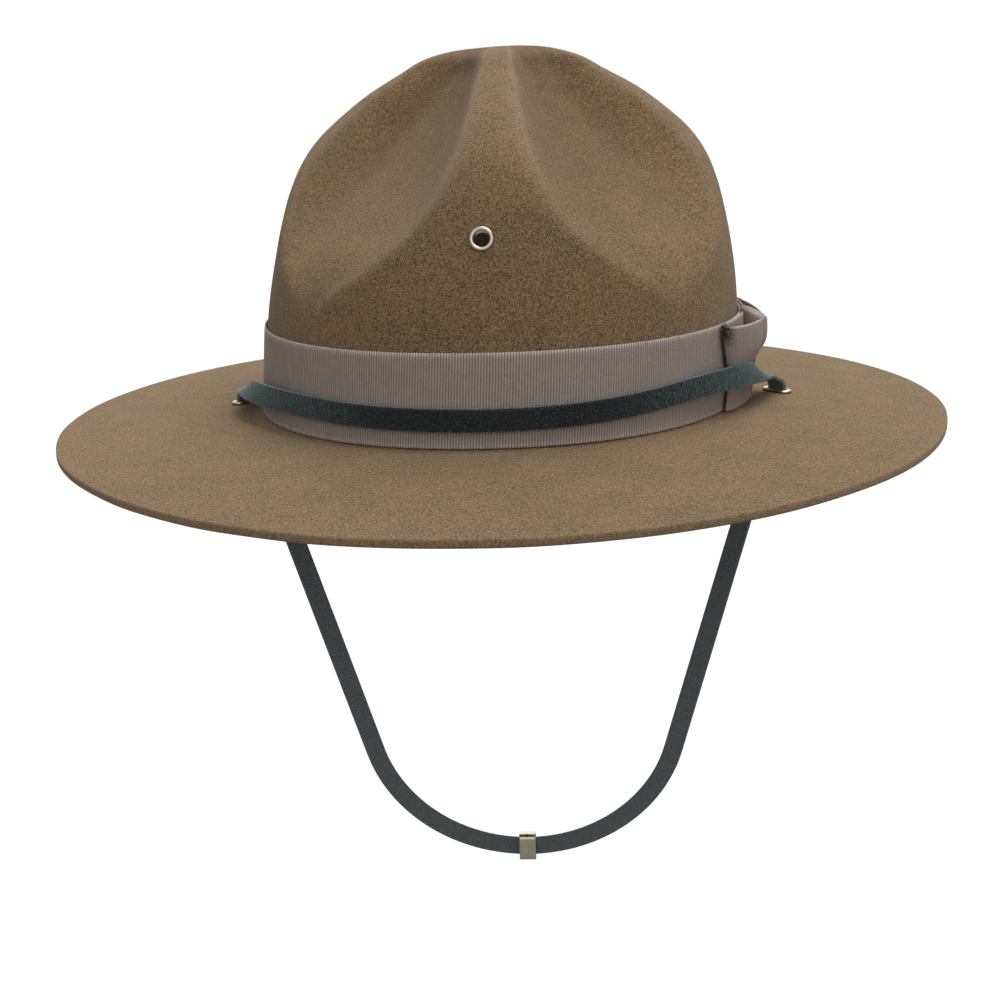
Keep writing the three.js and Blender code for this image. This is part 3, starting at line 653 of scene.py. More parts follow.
@dataclass(frozen=True)
class CrownForm:
    """The felt crown. Its rows run from foot to peak: up is a share of the height above the brim, out a
    share of the half axes, pinch how far a dent cuts in, and panel the flat of a ridge between dents."""

    half_width: float = 86.4 * MM
    half_length: float = 100.2 * MM
    height: float = 127.0 * MM
    foot: float = 3.0 * MM
    felt: float = 2.4 * MM
    lean: float = 3.8 * MM
    squareness: float = 2.12
    crease: float = 0.07
    steepness: float = 3.0
    rows: dict[str, Array] = field(
        default_factory=lambda: table(
            ("up", "out", "pinch", "panel"),
            [
                (0.0, 1.0, 0.0, 0.7),
                (0.12, 0.996, 0.0, 0.7),
                (0.246, 0.989, 0.0, 0.7),
                (0.355, 0.972, 0.01, 0.64),
                (0.46, 0.946, 0.075, 0.45),
                (0.54, 0.921, 0.175, 0.32),
                (0.621, 0.889, 0.285, 0.235),
                (0.694, 0.845, 0.38, 0.185),
                (0.758, 0.781, 0.45, 0.155),
                (0.815, 0.691, 0.495, 0.145),
                (0.879, 0.567, 0.52, 0.145),
                (0.933, 0.428, 0.49, 0.15),
                (0.971, 0.327, 0.40, 0.16),
                (0.992, 0.217, 0.27, 0.18),
                (1.0, 0.11, 0.08, 0.2),
                (1.0, 0.0, 0.0, 0.2),
            ],
        )
    )

    @property
    def last(self) -> int:
        """Returns the place of the peak."""
        return len(self.rows["up"]) - 1

    def dent(self, angle: Array, panel: Array) -> Array:
        """How deep a dent is: 0 on a ridge, 1 on the diagonal.

        x is how far the smaller of |cos| and |sin| lies beyond the panel, as a share of the way to the
        diagonal. It is softened at the crease, and the depth is 1 - (1 - x)^steepness.

        Args:
            angle: angles round the crown.
            panel: width of the ridge's panel at each.

        Returns:
            The depth.
        """
        off = np.minimum(np.abs(np.cos(angle)), np.abs(np.sin(angle)))
        x = (off - panel) / np.maximum(math.sqrt(0.5) - panel, 0.04)
        soft = np.minimum((x + np.hypot(x, self.crease)) / 2, 1.0)
        return 1.0 - (1.0 - soft) ** self.steepness

    def point(self, angle: Array, place: Array) -> Array:
        """Points on the outside: the oval shrunk by out and by the dent, leaning with the height.

        Args:
            angle: angles round the crown.
            place: place along the rows.

        Returns:
            Points, in the common shape of both.
        """
        angle, place = np.broadcast_arrays(np.asarray(angle, float), np.asarray(place, float))
        up, out, pinch, panel = (from_rows(self.rows[k], place) for k in ("up", "out", "pinch", "panel"))
        share = out * (1.0 - pinch * self.dent(angle, panel))
        xy = oval(angle, self.half_width, self.half_length, self.squareness) * share[..., None]
        x = xy[..., 0] + self.lean * (1.0 - (1.0 - up) ** 2)
        return np.stack([x, xy[..., 1], self.foot + (self.height - self.foot) * up], -1)

    def normal(self, angle: Array, place: Array) -> Array:
        """Outward normals: a small step round the crown cross a small step up it."""
        step = 0.01
        low = np.maximum(np.minimum(place, self.last - step) - step, 0.0)
        high = np.minimum(np.asarray(place, float) + step, self.last - step)
        along = self.point(angle, high) - self.point(angle, low)
        around = self.point(np.asarray(angle) + step, place) - self.point(np.asarray(angle) - step, place)
        return unit(np.cross(around, along))

    def place_at(self, height: Array) -> Array:
        """Returns the place along the rows where the crown reaches a height, read from a fine table."""
        places = np.linspace(0, self.last - 1, 3000)
        return np.interp(height, self.point(0.0, places)[:, 2], places)

    def beside(self, angle: Array, height: Array, distance: Array) -> Array:
        """Points off the side of the crown: its point at a height, moved along the level normal."""
        angle, height, distance = np.broadcast_arrays(angle, height, distance)
        place = self.place_at(height)
        out = self.normal(angle, place)
        out = unit(np.stack([out[..., 0], out[..., 1], np.zeros_like(angle, float)], -1))
        p = self.point(angle, place) + out * distance[..., None]
        p[..., 2] = height
        return p

    def inside(self, angle: Array, place: Array) -> Array:
        """Points on the inside of the felt, one thickness in along the normal."""
        return self.point(angle, place) - self.normal(angle, place) * self.felt


@dataclass(frozen=True)
class BrimForm:
    """The felt brim, which falls a little towards its edge."""

    half_width: float = 161.0 * MM
    half_length: float = 176.0 * MM
    felt: float = 3.0 * MM
    side_fall: float = 5.2 * MM
    front_fall: float = 7.6 * MM
    back_fall: float = 5.8 * MM
    power: float = 1.2

    def top(self, angle: Array, share: Array) -> Array:
        """Height of its top: the felt less a fall times share^power, blended from side to end."""
        s = np.sin(angle)
        end = np.where(s < 0, self.front_fall, self.back_fall)
        fall = self.side_fall + (end - self.side_fall) * s * s
        return self.felt - fall * share**self.power

    def point(self, crown: CrownForm, angle: Array, share: Array, depth: Array, inset: Array) -> Array:
        """Points of the brim: between the crown's foot and the edge in plan, at a depth below the top.

        Args:
            crown: the crown that it joins.
            angle: angles round the hat.
            share: share of the way from the crown to the edge.
            depth: depth below the top.
            inset: how far it is drawn back from the outline.

        Returns:
            The points.
        """
        angle, share, depth, inset = np.broadcast_arrays(angle, share, depth, inset)
        inner = oval(angle, crown.half_width, crown.half_length, crown.squareness)
        outer = oval(angle, self.half_width, self.half_length, 2.0)
        p = inner + (outer - inner) * share[..., None]
        p = p * (1.0 - inset / np.linalg.norm(p, axis=-1))[..., None]
        return np.concatenate([p, (self.top(angle, share) - depth)[..., None]], -1)


class Side(Enum):
    """A side of the hat, as the sign of its X."""

    LEFT = 1
    RIGHT = -1


@dataclass(frozen=True)
class SlotForm:
    """A slot in the brim that the strap goes down through."""

    left_from_crown: float = 15.4 * MM
    right_from_crown: float = 8.8 * MM
    forward: float = 8.6 * MM
    turn: float = math.radians(45)
    length: float = 8.8 * MM
    width: float = 3.0 * MM
    wall: float = 0.6 * MM
    flange: float = 0.9 * MM
    flange_tall: float = 0.8 * MM

    def from_crown(self, side: Side) -> float:
        """Returns how far the middle of the slot lies outside the crown."""
        return self.left_from_crown if side is Side.LEFT else self.right_from_crown

    def tall(self, brim: BrimForm) -> float:
        """Returns the height of its eyelet with both flanges."""
        return brim.felt + 2 * CLEARANCE + 2 * self.flange_tall

    def frame(self, crown: CrownForm, brim: BrimForm, side: Side) -> tuple[Array, Array, Array, Array]:
        """The frame of the slot, tilted with the slope of the brim.

        Args:
            crown: the crown that it lies beside.
            brim: the brim that it goes through.
            side: the side of the hat.

        Returns:
            Its middle, the way along it, the way across it and away from the front, and the way up.
        """
        sign = side.value
        crown_x = crown.half_width * math.sqrt(1 - (self.forward / crown.half_length) ** 2)
        width = brim.half_width - crown.half_width
        off = self.from_crown(side)
        share = off / width
        slope = brim.side_fall * brim.power * share ** (brim.power - 1) / width
        up = unit(np.array([sign * slope, 0.0, 1.0]))
        height = float(brim.top(np.array(0.0), np.array(share))) - brim.felt / 2
        middle = np.array([sign * (crown_x + off), -self.forward, height])
        outward = np.array([sign * math.sin(self.turn), math.cos(self.turn), 0.0])
        outward = unit(outward - up * (outward @ up))
        return middle, np.cross(outward, up), outward, up


@dataclass(frozen=True)
class BadgeForm:
    """The round eyelet at the front of the crown."""

    height: float = 68.0 * MM
    off_centre: float = 2.9 * MM
    flange: float = 7.8 * MM
    hole: float = 5.0 * MM
    wall: float = 0.5 * MM
    flange_tall: float = 0.8 * MM

    def frame(self, crown: CrownForm) -> tuple[Array, Array, Array, Array]:
        """Returns the middle of the felt there, two ways across it, and the way out of it."""
        angle = np.array(FRONT - self.off_centre / crown.half_width)
        place = crown.place_at(np.array(self.height))
        outward = crown.normal(angle, place)
        middle = crown.point(angle, place) - outward * crown.felt / 2
        across = unit(np.cross(np.array([0.0, 0.0, 1.0]), outward))
        return middle, across, np.cross(outward, across), outward


# Pieces


@dataclass
class Hat:
    """What every piece needs to know: the forms that they share and the finishes."""

    crown: CrownForm = field(default_factory=CrownForm)
    brim: BrimForm = field(default_factory=BrimForm)
    slot: SlotForm = field(default_factory=SlotForm)
    badge: BadgeForm = field(default_factory=BadgeForm)
    effects: Effects = field(default_factory=Effects)

    def __post_init__(self) -> None:
        """Makes the finishes."""
        self.felt = FeltFinish().material(self.effects)
        self.ribbon = RibbonFinish().material(self.effects)
        self.leather = LeatherFinish().material(self.effects)
        self.nickel = NickelFinish().material(self.effects)


def settle(piece: bpy.types.Object, node: str) -> bpy.types.Object:
    """Makes a piece ride on the hat and stand for its solid, which it hides, and logs its triangles.

    Args:
        piece: the finished piece.
        node: the solid that it stands for.

    Returns:
        The piece.
    """
    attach(piece, "root")
    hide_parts(node)
    count = len(piece.data.loops) - 2 * len(piece.data.polygons)
    LOG.info("%s: %d triangles", piece.name, count)
    return piece


def cut_away(piece: bpy.types.Object, cutters: list[bpy.types.Object]) -> None:
    """Cuts solids out of a piece and removes them.

    Args:
        piece: the piece that is cut.
        cutters: the solids.
    """
    for cutter in cutters:
        modifier = piece.modifiers.new("hole", "BOOLEAN")
        modifier.object = cutter
        modifier.operation = "DIFFERENCE"
        modifier.solver = "EXACT"
    bpy.context.view_layer.update()
    graph = bpy.context.evaluated_depsgraph_get()
    mesh = bpy.data.meshes.new_from_object(piece.evaluated_get(graph))
    piece.modifiers.clear()
    piece.data = mesh
    for cutter in cutters:
        bpy.data.objects.remove(cutter)


@dataclass
class FeltBody:
    """Crown and brim, one pressed piece of stiff felt with a cut edge."""

    hat: Hat
    around: int = 400
    crown_rings: int = 110
    inner_rings: int = 42
    brim_rings: int = 22
    edge_round: float = 0.9 * MM
    unevenness: float = 0.22 * MM
    wave_length: float = 0.055
    wave_seed: int = 3
    wave_middle: float = 0.02

    def rings(self) -> tuple[Array, dict[str, Array]]:
        """The wall as rings from the peak down the outside, round the brim and up the inside.

        Returns:
            The grid of points, and its marks.
        """
        crown, brim = self.hat.crown, self.hat.brim
        angle = np.arange(self.around) / self.around * 2 * math.pi
        place = np.linspace(crown.last, 0, self.crown_rings + 1)[1:, None]
        outside = crown.point(angle, place)
        shares = np.linspace(0, 1, self.brim_rings + 1)[1:-1, None]
        top = brim.point(crown, angle, shares, 0.0, 0.0)
        turns = np.linspace(0, math.pi / 2, 5)[:, None]
        r = self.edge_round
        upper = brim.point(crown, angle, 1.0, r * (1 - np.cos(turns)), r * (1 - np.sin(turns)))
        lower = brim.point(crown, angle, 1.0, brim.felt - r * (1 - np.sin(turns)), r * (1 - np.cos(turns)))
        under = brim.point(crown, angle, shares[::-1], brim.felt, 0.0)
        inner_place = np.linspace(0, crown.last, self.inner_rings + 1)[:-1, None]
        inside = crown.inside(angle, inner_place)
        inside[0, :, 2] = 0.0
        points = np.concatenate([outside, top, upper, lower, under, inside])
        ridge, dent_shade_mask = np.zeros(points.shape[:2]), np.zeros(points.shape[:2])
        ridge[: len(outside)], dent_shade_mask[: len(outside)] = self.pressed_marks(angle, place)
        cut = np.zeros(ridge.shape)
        first = len(outside) + len(top)
        cut[first : first + len(upper) + len(lower)] = 1.0
        cut[first] = 0.2
        return self.uneven(points), {"ridge": ridge, "dent_shade_mask": dent_shade_mask, "cut": cut}

    def pressed_marks(self, angle: Array, place: Array) -> tuple[Array, Array]:
        """Returns where the nap is rubbed and a highlight is painted, at the rim of a dent, and where shade
        is painted, down in it.
        """
        crown = self.hat.crown
        panel = from_rows(crown.rows["panel"], place)
        dent = crown.dent(angle[None], panel)
        rim = np.exp(-(((dent - 0.13) / 0.09) ** 2))
        upper = smooth_step(4.0, 8.0, place) * (1 - 0.6 * smooth_step(13.0, 15.0, place))
        return rim * upper, smooth_step(0.3, 0.9, dent) * upper

    def uneven(self, points: Array) -> Array:
        """Adds soft waves that move the felt away from a middle inside the crown, as hand pressing does."""
        wave = waves(points, self.wave_length, self.wave_seed)[..., None]
        out = unit(points - np.array([0.0, 0.0, self.wave_middle]))
        return points + out * wave * self.unevenness

    def holes(self) -> list[bpy.types.Object]:
        """Returns the solids that cut the badge hole and the two slots."""
        hat = self.hat
        cutters = []
        turns = np.arange(48) / 48 * 2 * math.pi
        middle, across, along, outward = hat.badge.frame(hat.crown)
        radius = hat.badge.hole / 2 + hat.badge.wall + CLEARANCE
        ring = radius * (np.cos(turns)[:, None] * across + np.sin(turns)[:, None] * along)
        cutters.append(self.bar(middle, ring, outward * 3 * hat.crown.felt))
        for side in Side:
            middle, along, outward, up = hat.slot.frame(hat.crown, hat.brim, side)
            grow = hat.slot.wall + CLEARANCE
            length, width = hat.slot.length + 2 * grow, hat.slot.width + 2 * grow
            outline = rounded_bar(length, width, width / 2 - 1e-6, 10, 4)
            ring = outline[:, :1] * along + outline[:, 1:] * outward
            cutters.append(self.bar(middle, ring, up * 1.5 * hat.brim.felt))
        return cutters

    def bar(self, middle: Array, ring: Array, reach: Array) -> bpy.types.Object:
        """Returns a straight bar with a ring as its section, reaching both ways from a middle."""
        points = np.stack([middle + ring - reach, middle + ring + reach])
        surface = GridSurface(points, np.arange(len(ring) + 1.0), np.arange(2.0), flat_ends=True)
        return surface.object("cutter", self.hat.felt)

    def build(self) -> bpy.types.Object:
        """Makes the felt and its holes."""
        points, marks = self.rings()
        u = np.linspace(0, 1, self.around + 1)
        v = np.linspace(0, 1, len(points))
        surface = GridSurface(points, u, v, flat_ends=True, marks=marks)
        piece = surface.object("felt_hat_body", self.hat.felt)
        cut_away(piece, self.holes())
        return settle(piece, "felt_body")


@dataclass
class RibbonBand:
    """The ribbed ribbon round the foot of the crown, with woven loops along both edges."""

    hat: Hat
    width: float = 30.5 * MM
    stand: float = 1.2 * MM
    back: float = 0.45 * MM
    ribs: int = 652
    steps: int = 6
    rib_height: float = 0.13 * MM
    loop: float = 0.28 * MM
    measured_at: float = 0.018

    def angles(self) -> tuple[Array, float]:
        """Returns angles that cut the band into equal lengths, and its length near half its height."""
        fine = np.linspace(0, 2 * math.pi, 6000)
        run = arc_lengths(self.hat.crown.beside(fine, self.measured_at, self.stand))
        at = np.linspace(0, run[-1], self.ribs * self.steps + 1)
        return np.interp(at, run, fine)[:-1], float(run[-1])

    def build(self) -> bpy.types.Object:
        """Makes the ribbon: a thin closed section carried round the crown, ribbed on its outer face."""
        angle, length = self.angles()
        rib = 0.5 + 0.5 * np.cos(2 * math.pi * np.arange(len(angle)) / self.steps)
        low = self.hat.brim.felt + CLEARANCE
        section = table(
            ("up", "off", "ribbed", "edge"),
            [
                (0.0, 0.55, 0.5, 1.0),
                (0.006, 0.9, 1.0, 1.0),
                (0.03, 1.0, 1.0, 0.8),
                (0.05, 1.0, 1.0, 0.25),
                (0.08, 1.0, 1.0, 0.0),
                (0.3, 1.0, 1.0, 0.0),
                (0.55, 1.0, 1.0, 0.0),
                (0.8, 1.0, 1.0, 0.0),
                (0.92, 1.0, 1.0, 0.0),
                (0.95, 1.0, 1.0, 0.25),
                (0.97, 1.0, 1.0, 0.8),
                (0.994, 0.9, 1.0, 1.0),
                (1.0, 0.55, 0.5, 1.0),
                (0.99, 0.0, 0.0, 0.6),
                (0.5, 0.0, 0.0, 0.0),
                (0.01, 0.0, 0.0, 0.6),
            ],
        )
        up, off, ribbed, edge = (section[k][:, None] for k in ("up", "off", "ribbed", "edge"))
        loops = self.loop * (rib - 0.5) * ribbed * np.where(up > 0.9, 1.0, np.where(up < 0.1, -1.0, 0.0))
        height = low + self.loop / 2 + up * (self.width - self.loop) + loops * (np.abs(up - 0.5) > 0.49)
        distance = self.back + (self.stand - self.back) * off
        distance = distance - self.rib_height * (1 - rib) * ribbed * off
        points = self.hat.crown.beside(np.broadcast_to(angle, height.shape), height, distance)
        u = np.linspace(0, length, len(angle) + 1)
        v = np.append(up[:, 0], up[0, 0]) * self.width
        marks = {"rib": rib * ribbed, "selvedge": edge}
        surface = GridSurface(points, u, v, closed_rows=True, marks=marks)
        piece = surface.object("ribbed_ribbon_band", self.hat.ribbon)
        return settle(piece, "ribbon_band")


BOW_ROWS = table(
    ("up", "stand", "reach"),
    [(0.0, 0.45, 0.85), (0.36, 0.32, 0.8), (0.68, 0.95, 0.9), (1.0, 1.0, 1.0)],
)


@dataclass
class Bow:
    """The flat bow on the wearer's left: two folded loops and the strip wrapped over their middle. The
    strap presses its lower half flat."""

    hat: Hat
    width: float = 30.5 * MM
    half_length: float = 39.3 * MM
    angle: float = math.radians(-10)
    puff: float = 5.5 * MM
    flare: float = 0.5
    sag: float = 0.35
    ribbon: float = 0.7 * MM
    gap: float = 1.3 * MM
    knot_half: float = 5.5 * MM
    knot_puff: float = 9.0 * MM
    knot_overhang: float = 0.9 * MM
    band_off: float = 1.6 * MM
    rib_pitch: float = 0.9 * MM
    rib_height: float = 0.06 * MM
    columns: int = 64
    pleat: float = 0.35 * MM
    pleats: float = 110.0
    lower: float = 0.5 * MM
    fold: float = 0.06
    edge_round: float = 0.0003

    def beside_band(self, along: Array, height: Array, distance: Array) -> Array:
        """Points at the bow, from the way along the band from the knot and the way off the band."""
        angle = self.angle + along / self.hat.crown.half_length
        up = (height - self.hat.brim.felt) / self.width
        return self.hat.crown.beside(angle, height - self.sag * distance * up, self.band_off + distance)

    def loop_middle(self, run: Array, up: Array) -> tuple[Array, Array]:
        """The middle of a loop's ribbon: out along the band, round its fold, and back standing off.

        The way back stands off by the gap plus puff times stand times (1 - share)^flare.

        Args:
            run: 0 at the start by the band, 1 at the end of the way back.
            up: height as a share of the ribbon's width.

        Returns:
            The way along the band and the way off it.
        """
        place = up * (len(BOW_ROWS["up"]) - 1)
        stand = from_rows(BOW_ROWS["stand"], place)
        reach = self.half_length * from_rows(BOW_ROWS["reach"], place)
        start = self.knot_half + CLEARANCE
        end = reach - (self.gap + self.ribbon) / 2
        low = self.lower
        straight = (1 - self.fold) / 2
        turn = (run - straight) / self.fold * math.pi - math.pi / 2
        radius = self.gap / 2
        out_share = np.clip(np.minimum(run, 1 - run) / straight, 0, 1)
        along = start + (end - start) * out_share
        off = np.where(run < 0.5, low, low + self.gap + self.puff * stand * (1 - out_share) ** self.flare)
        in_fold = np.abs(run - 0.5) < self.fold / 2
        along = np.where(in_fold, end + radius * np.cos(turn), along)
        off = np.where(in_fold, low + radius + radius * np.sin(turn), off)
        return along, off + self.pleat * self.gathered(run, up) * (1 + np.sin(up * self.pleats))

    def gathered(self, run: Array, up: Array) -> Array:
        """Returns where the ribbon is gathered: at the upper corner of its fold."""
        return smooth_step(0.72, 0.92, up) * np.exp(-(((run - 0.5) / 0.06) ** 2))

    def shaded(self, run: Array, up: Array) -> Array:
        """Returns where shade is painted on the ribbon: at its gathered corner, and under its fold."""
        tuck = smooth_step(0.38, 0.45, run) * (1 - smooth_step(0.492, 0.5, run))
        return np.maximum(self.gathered(run, up), 0.8 * tuck)

    def loop(self, sign: int, name: str, node: str) -> bpy.types.Object:
        """Makes one loop as a strip with thickness.

        Args:
            sign: -1 for the front loop, 1 for the back one.
            name: name of the piece.
            node: the solid that it stands for.

        Returns:
            The piece.
        """
        length = 2 * (self.half_length - self.knot_half)
        rows = int(length / self.rib_pitch) * 6
        run = np.linspace(0, 1, rows)[:, None]
        bottom = self.hat.brim.felt + 2 * CLEARANCE
        half = np.linspace(0, 1, self.columns)[None, :]
        along, off = self.loop_middle(run, half)
        step_along, step_off = np.gradient(along, axis=0), np.gradient(off, axis=0)
        size = np.hypot(step_along, step_off)
        out_along, out_off = -step_off / size, step_along / size
        rib = 0.5 + 0.5 * np.cos(2 * math.pi * np.arange(rows) / 6)[:, None]
        thick = self.ribbon / 2 - self.rib_height * (1 - rib)
        inset = np.minimum(half, 1 - half) * self.width
        edge = np.minimum(1.0, np.sqrt(np.clip(inset / self.edge_round, 0.15, 1)))
        sides = []
        for way in (1, -1):
            a = along + way * out_along * thick * edge
            o = off + way * out_off * thick * edge
            sides.append(self.beside_band(sign * a, bottom + half * self.width, np.maximum(o, 0.0)))
        points = np.concatenate([sides[0], sides[1][:, ::-1]], 1)
        up = np.concatenate([half[0], half[0, ::-1]])
        selvedge = 1 - smooth_step(0.0, 0.04, np.minimum(up, 1 - up))
        v = np.linspace(0, length, rows)
        u = np.append(up, up[0]) * self.width
        marks = {"rib": rib * 0.6 + 0.2, "selvedge": selvedge, "painted_fold_shade": self.shaded(run, up)}
        surface = GridSurface(points, u, v, flat_ends=True, marks=marks)
        piece = surface.object(name, self.hat.ribbon)
        return settle(piece, node)

    def knot(self) -> bpy.types.Object:
        """Makes the strip over the middle as a closed form, its faces bowed and its ribs lengthwise."""
        bottom = self.hat.brim.felt + 2 * CLEARANCE
        tall = self.width + self.knot_overhang
        share = np.linspace(0, 1, 31)
        up = np.linspace(0, 1, 60)
        stand = from_rows(BOW_ROWS["stand"], up * 3)[:, None]
        soft = np.sqrt(np.clip(np.minimum(up, 1 - up) / 0.02, 0.2, 1))[:, None]
        front_along = (share - 0.5) * 2 * self.knot_half
        rib = 0.5 + 0.5 * np.cos(2 * math.pi * share * 12)
        bowed = 0.85 + 0.15 * np.sin(math.pi * share)
        front = self.knot_puff * stand * bowed * soft - self.rib_height * (1 - rib)
        back = np.full((len(up), 2), 0.02 * MM)
        along = np.concatenate([front_along, [self.knot_half, -self.knot_half]])
        distance = np.concatenate([front, back], 1)
        points = self.beside_band(along, bottom + up[:, None] * tall, distance)
        u = np.linspace(0, 2 * self.knot_half, points.shape[1] + 1)
        marks = {"rib": np.append(rib, [0, 0]) * 0.6 + 0.2}
        surface = GridSurface(points, u, up * tall, flat_ends=True, marks=marks)
        piece = surface.object("ribbon_bow_knot", self.hat.ribbon)
        return settle(piece, "bow_knot")

    def build(self) -> list[bpy.types.Object]:
        """Makes both loops and the knot."""
        return [
            self.loop(-1, "ribbon_bow_front_loop", "bow_loop_front"),
            self.loop(1, "ribbon_bow_back_loop", "bow_loop_back"),
            self.knot(),
        ]


@dataclass
class ChinStrap:
    """The leather strap: round the front of the crown, through both slots and behind the nape."""

    hat: Hat
    width: float = 7.6 * MM
    thickness: float = 1.4 * MM
    front_height: float = 12.8 * MM
    left_height: float = 15.0 * MM
    right_height: float = 13.6 * MM
    leave: float = math.radians(52)
    bulge: float = 0.72
    lift: float = 2.6 * MM
    level: float = 0.6
    curl: float = 4.0 * MM
    strand_slope: float = 0.248
    strand_back: float = 0.2
    drop: float = 151.0 * MM
    nape_turn: float = 0.6
    step: float = 0.7 * MM

    def half(self, side: Side) -> tuple[Array, Array]:
        """Half of the run, from the front of the crown to the nape.

        Args:
            side: the side of the hat.

        Returns:
            Points, and the way that the strap's outer face looks at each.
        """
        hat, sign = self.hat, side.value
        middle, _, outward, up = hat.slot.frame(hat.crown, hat.brim, side)
        share = np.linspace(0, 1, 120)
        angle = FRONT + sign * share * (math.pi / 2 - self.leave)
        side_height = self.left_height if side is Side.LEFT else self.right_height
        height = self.front_height + (side_height - self.front_height) * share**2
        band = 1.0 * MM
        off = 2 * CLEARANCE + band + self.thickness / 2
        wrap = hat.crown.beside(angle, height, off)
        wrap_face = hat.crown.normal(angle, hat.crown.place_at(height))
        way = unit(wrap[-1] - wrap[-2])
        rise = hat.slot.tall(hat.brim) / 2 + self.curl
        arrive = middle - outward * self.curl + up * rise
        reach = np.linalg.norm(arrive - wrap[-1])
        cage = [
            wrap[-1],
            wrap[-1] + way * reach * self.bulge,
            arrive - outward * hat.slot.from_crown(side) * self.level + up * self.lift,
            arrive,
        ]
        t = np.linspace(0, 1, 80)[1:, None]
        cross = sum(k * (1 - t) ** (3 - i) * t**i * cage[i] for i, k in enumerate((1, 3, 3, 1)))
        twist = smooth_step(0, 1, t)
        cross_face = unit(wrap_face[-1] * (1 - twist) + up * twist)
        turn = np.linspace(0, math.pi / 2, 16)[1:, None]
        curl_face = up * np.cos(turn) + outward * np.sin(turn)
        curled = arrive - up * self.curl + curl_face * self.curl
        below, _ = self.strand_ends(side)
        through = middle + (below - middle) * np.linspace(0, 1, 8)[:, None]
        through_face = np.repeat(outward[None], 8, 0)
        strand, strand_face = self.strand(side, outward)
        points = np.concatenate([wrap, cross, curled, through, strand])
        return points, np.concatenate([wrap_face, cross_face, curl_face, through_face, strand_face])

    def strand_ends(self, side: Side) -> tuple[Array, Array]:
        """Returns where the strand starts under its slot, and where it ends above the nape."""
        middle, _, _, up = self.hat.slot.frame(self.hat.crown, self.hat.brim, side)
        start = middle - up * (self.hat.slot.tall(self.hat.brim) / 2 + self.thickness)
        way = np.array([-side.value * self.strand_slope, self.strand_back, -1.0])
        return start, start + way * (start[2] + self.drop)

    def strand(self, side: Side, outward: Array) -> tuple[Array, Array]:
        """The straight strand under the brim and its half of the round turn behind the nape.

        Args:
            side: the side of the hat.
            outward: the way that its face looks at the slot.

        Returns:
            Points and faces.
        """
        share = np.linspace(0, 1, 200)[1:, None]
        start, end = self.strand_ends(side)
        other = Side.RIGHT if side is Side.LEFT else Side.LEFT
        centre = (end[0] + self.strand_ends(other)[1][0]) / 2
        lean = math.atan(self.strand_slope)
        radius = abs(end[0] - centre) / math.cos(lean)
        turn = np.linspace(-lean, -math.pi / 2, 120)[1:, None]
        x = centre + side.value * radius * np.cos(turn)
        z = end[2] + radius * (np.sin(turn) + math.sin(lean))
        nape = np.concatenate([x, end[1] + self.strand_back * (end[2] - z), z], 1)
        back = np.array([0.0, 1.0, 0.0])
        turned = np.concatenate([share * self.nape_turn, np.linspace(self.nape_turn, 1, 120)[1:, None]])
        line = np.concatenate([start + (end - start) * share, nape])
        return line, unit(outward * (1 - turned) + back * turned)

    def run(self) -> tuple[Array, Array, float]:
        """The whole loop, cut into equal steps and rounded over about 2 mm.

        Returns:
            Points, faces and the length of the loop.
        """
        left, left_face = self.half(Side.LEFT)
        right, right_face = self.half(Side.RIGHT)
        points = np.concatenate([left, right[1:-1][::-1]])
        faces = np.concatenate([left_face, right_face[1:-1][::-1]])
        keep = np.linalg.norm(points - np.roll(points, 1, 0), axis=-1) > 1e-7
        points, faces = points[keep], faces[keep]
        run = arc_lengths(points, closed=True)
        count = int(round(run[-1] / self.step))
        at = np.arange(count) / count * run[-1]
        cut = [np.stack([np.interp(at, run, np.append(a[:, k], a[0, k])) for k in range(3)], -1)
               for a in (points, faces)]
        smooth = [self.rounded(a, 1.2) for a in cut]
        return smooth[0], unit(smooth[1]), float(run[-1])

    def rounded(self, values: Array, spread: float) -> Array:
        """Rounds a closed run: a bell curve of the given spread in steps, applied to its frequencies."""
        turns = np.fft.fftfreq(len(values))
        bell = np.exp(-2 * (math.pi * turns * spread) ** 2)[:, None]
        return np.fft.ifft(np.fft.fft(values, axis=0) * bell, axis=0).real

    def build(self) -> bpy.types.Object:
        """Makes the strap from a flat section with rounded corners."""
        run, faces, length = self.run()
        section = rounded_bar(self.width, self.thickness, 0.32 * MM, 3, 10)
        points = sweep(run, faces, section)
        rim = smooth_step(self.width / 2 - 0.9 * MM, self.width / 2 - 0.3 * MM, np.abs(section[:, 0]))
        side = np.abs(section[:, 0]) > self.width / 2 - 0.2 * MM
        outer = smooth_step(-0.2 * MM, 0.2 * MM, section[:, 1])
        marks = {"rim": rim * outer, "cut": side.astype(float), "outer": outer}
        u = arc_lengths(section, closed=True)
        v = np.linspace(0, length, len(run) + 1)
        surface = GridSurface(points, u, v, closed_rows=True, marks=marks)
        piece = surface.object("leather_chin_strap", self.hat.leather)
        LOG.info("strap loop %.1f mm", length / MM)
        return settle(piece, "chin_strap")


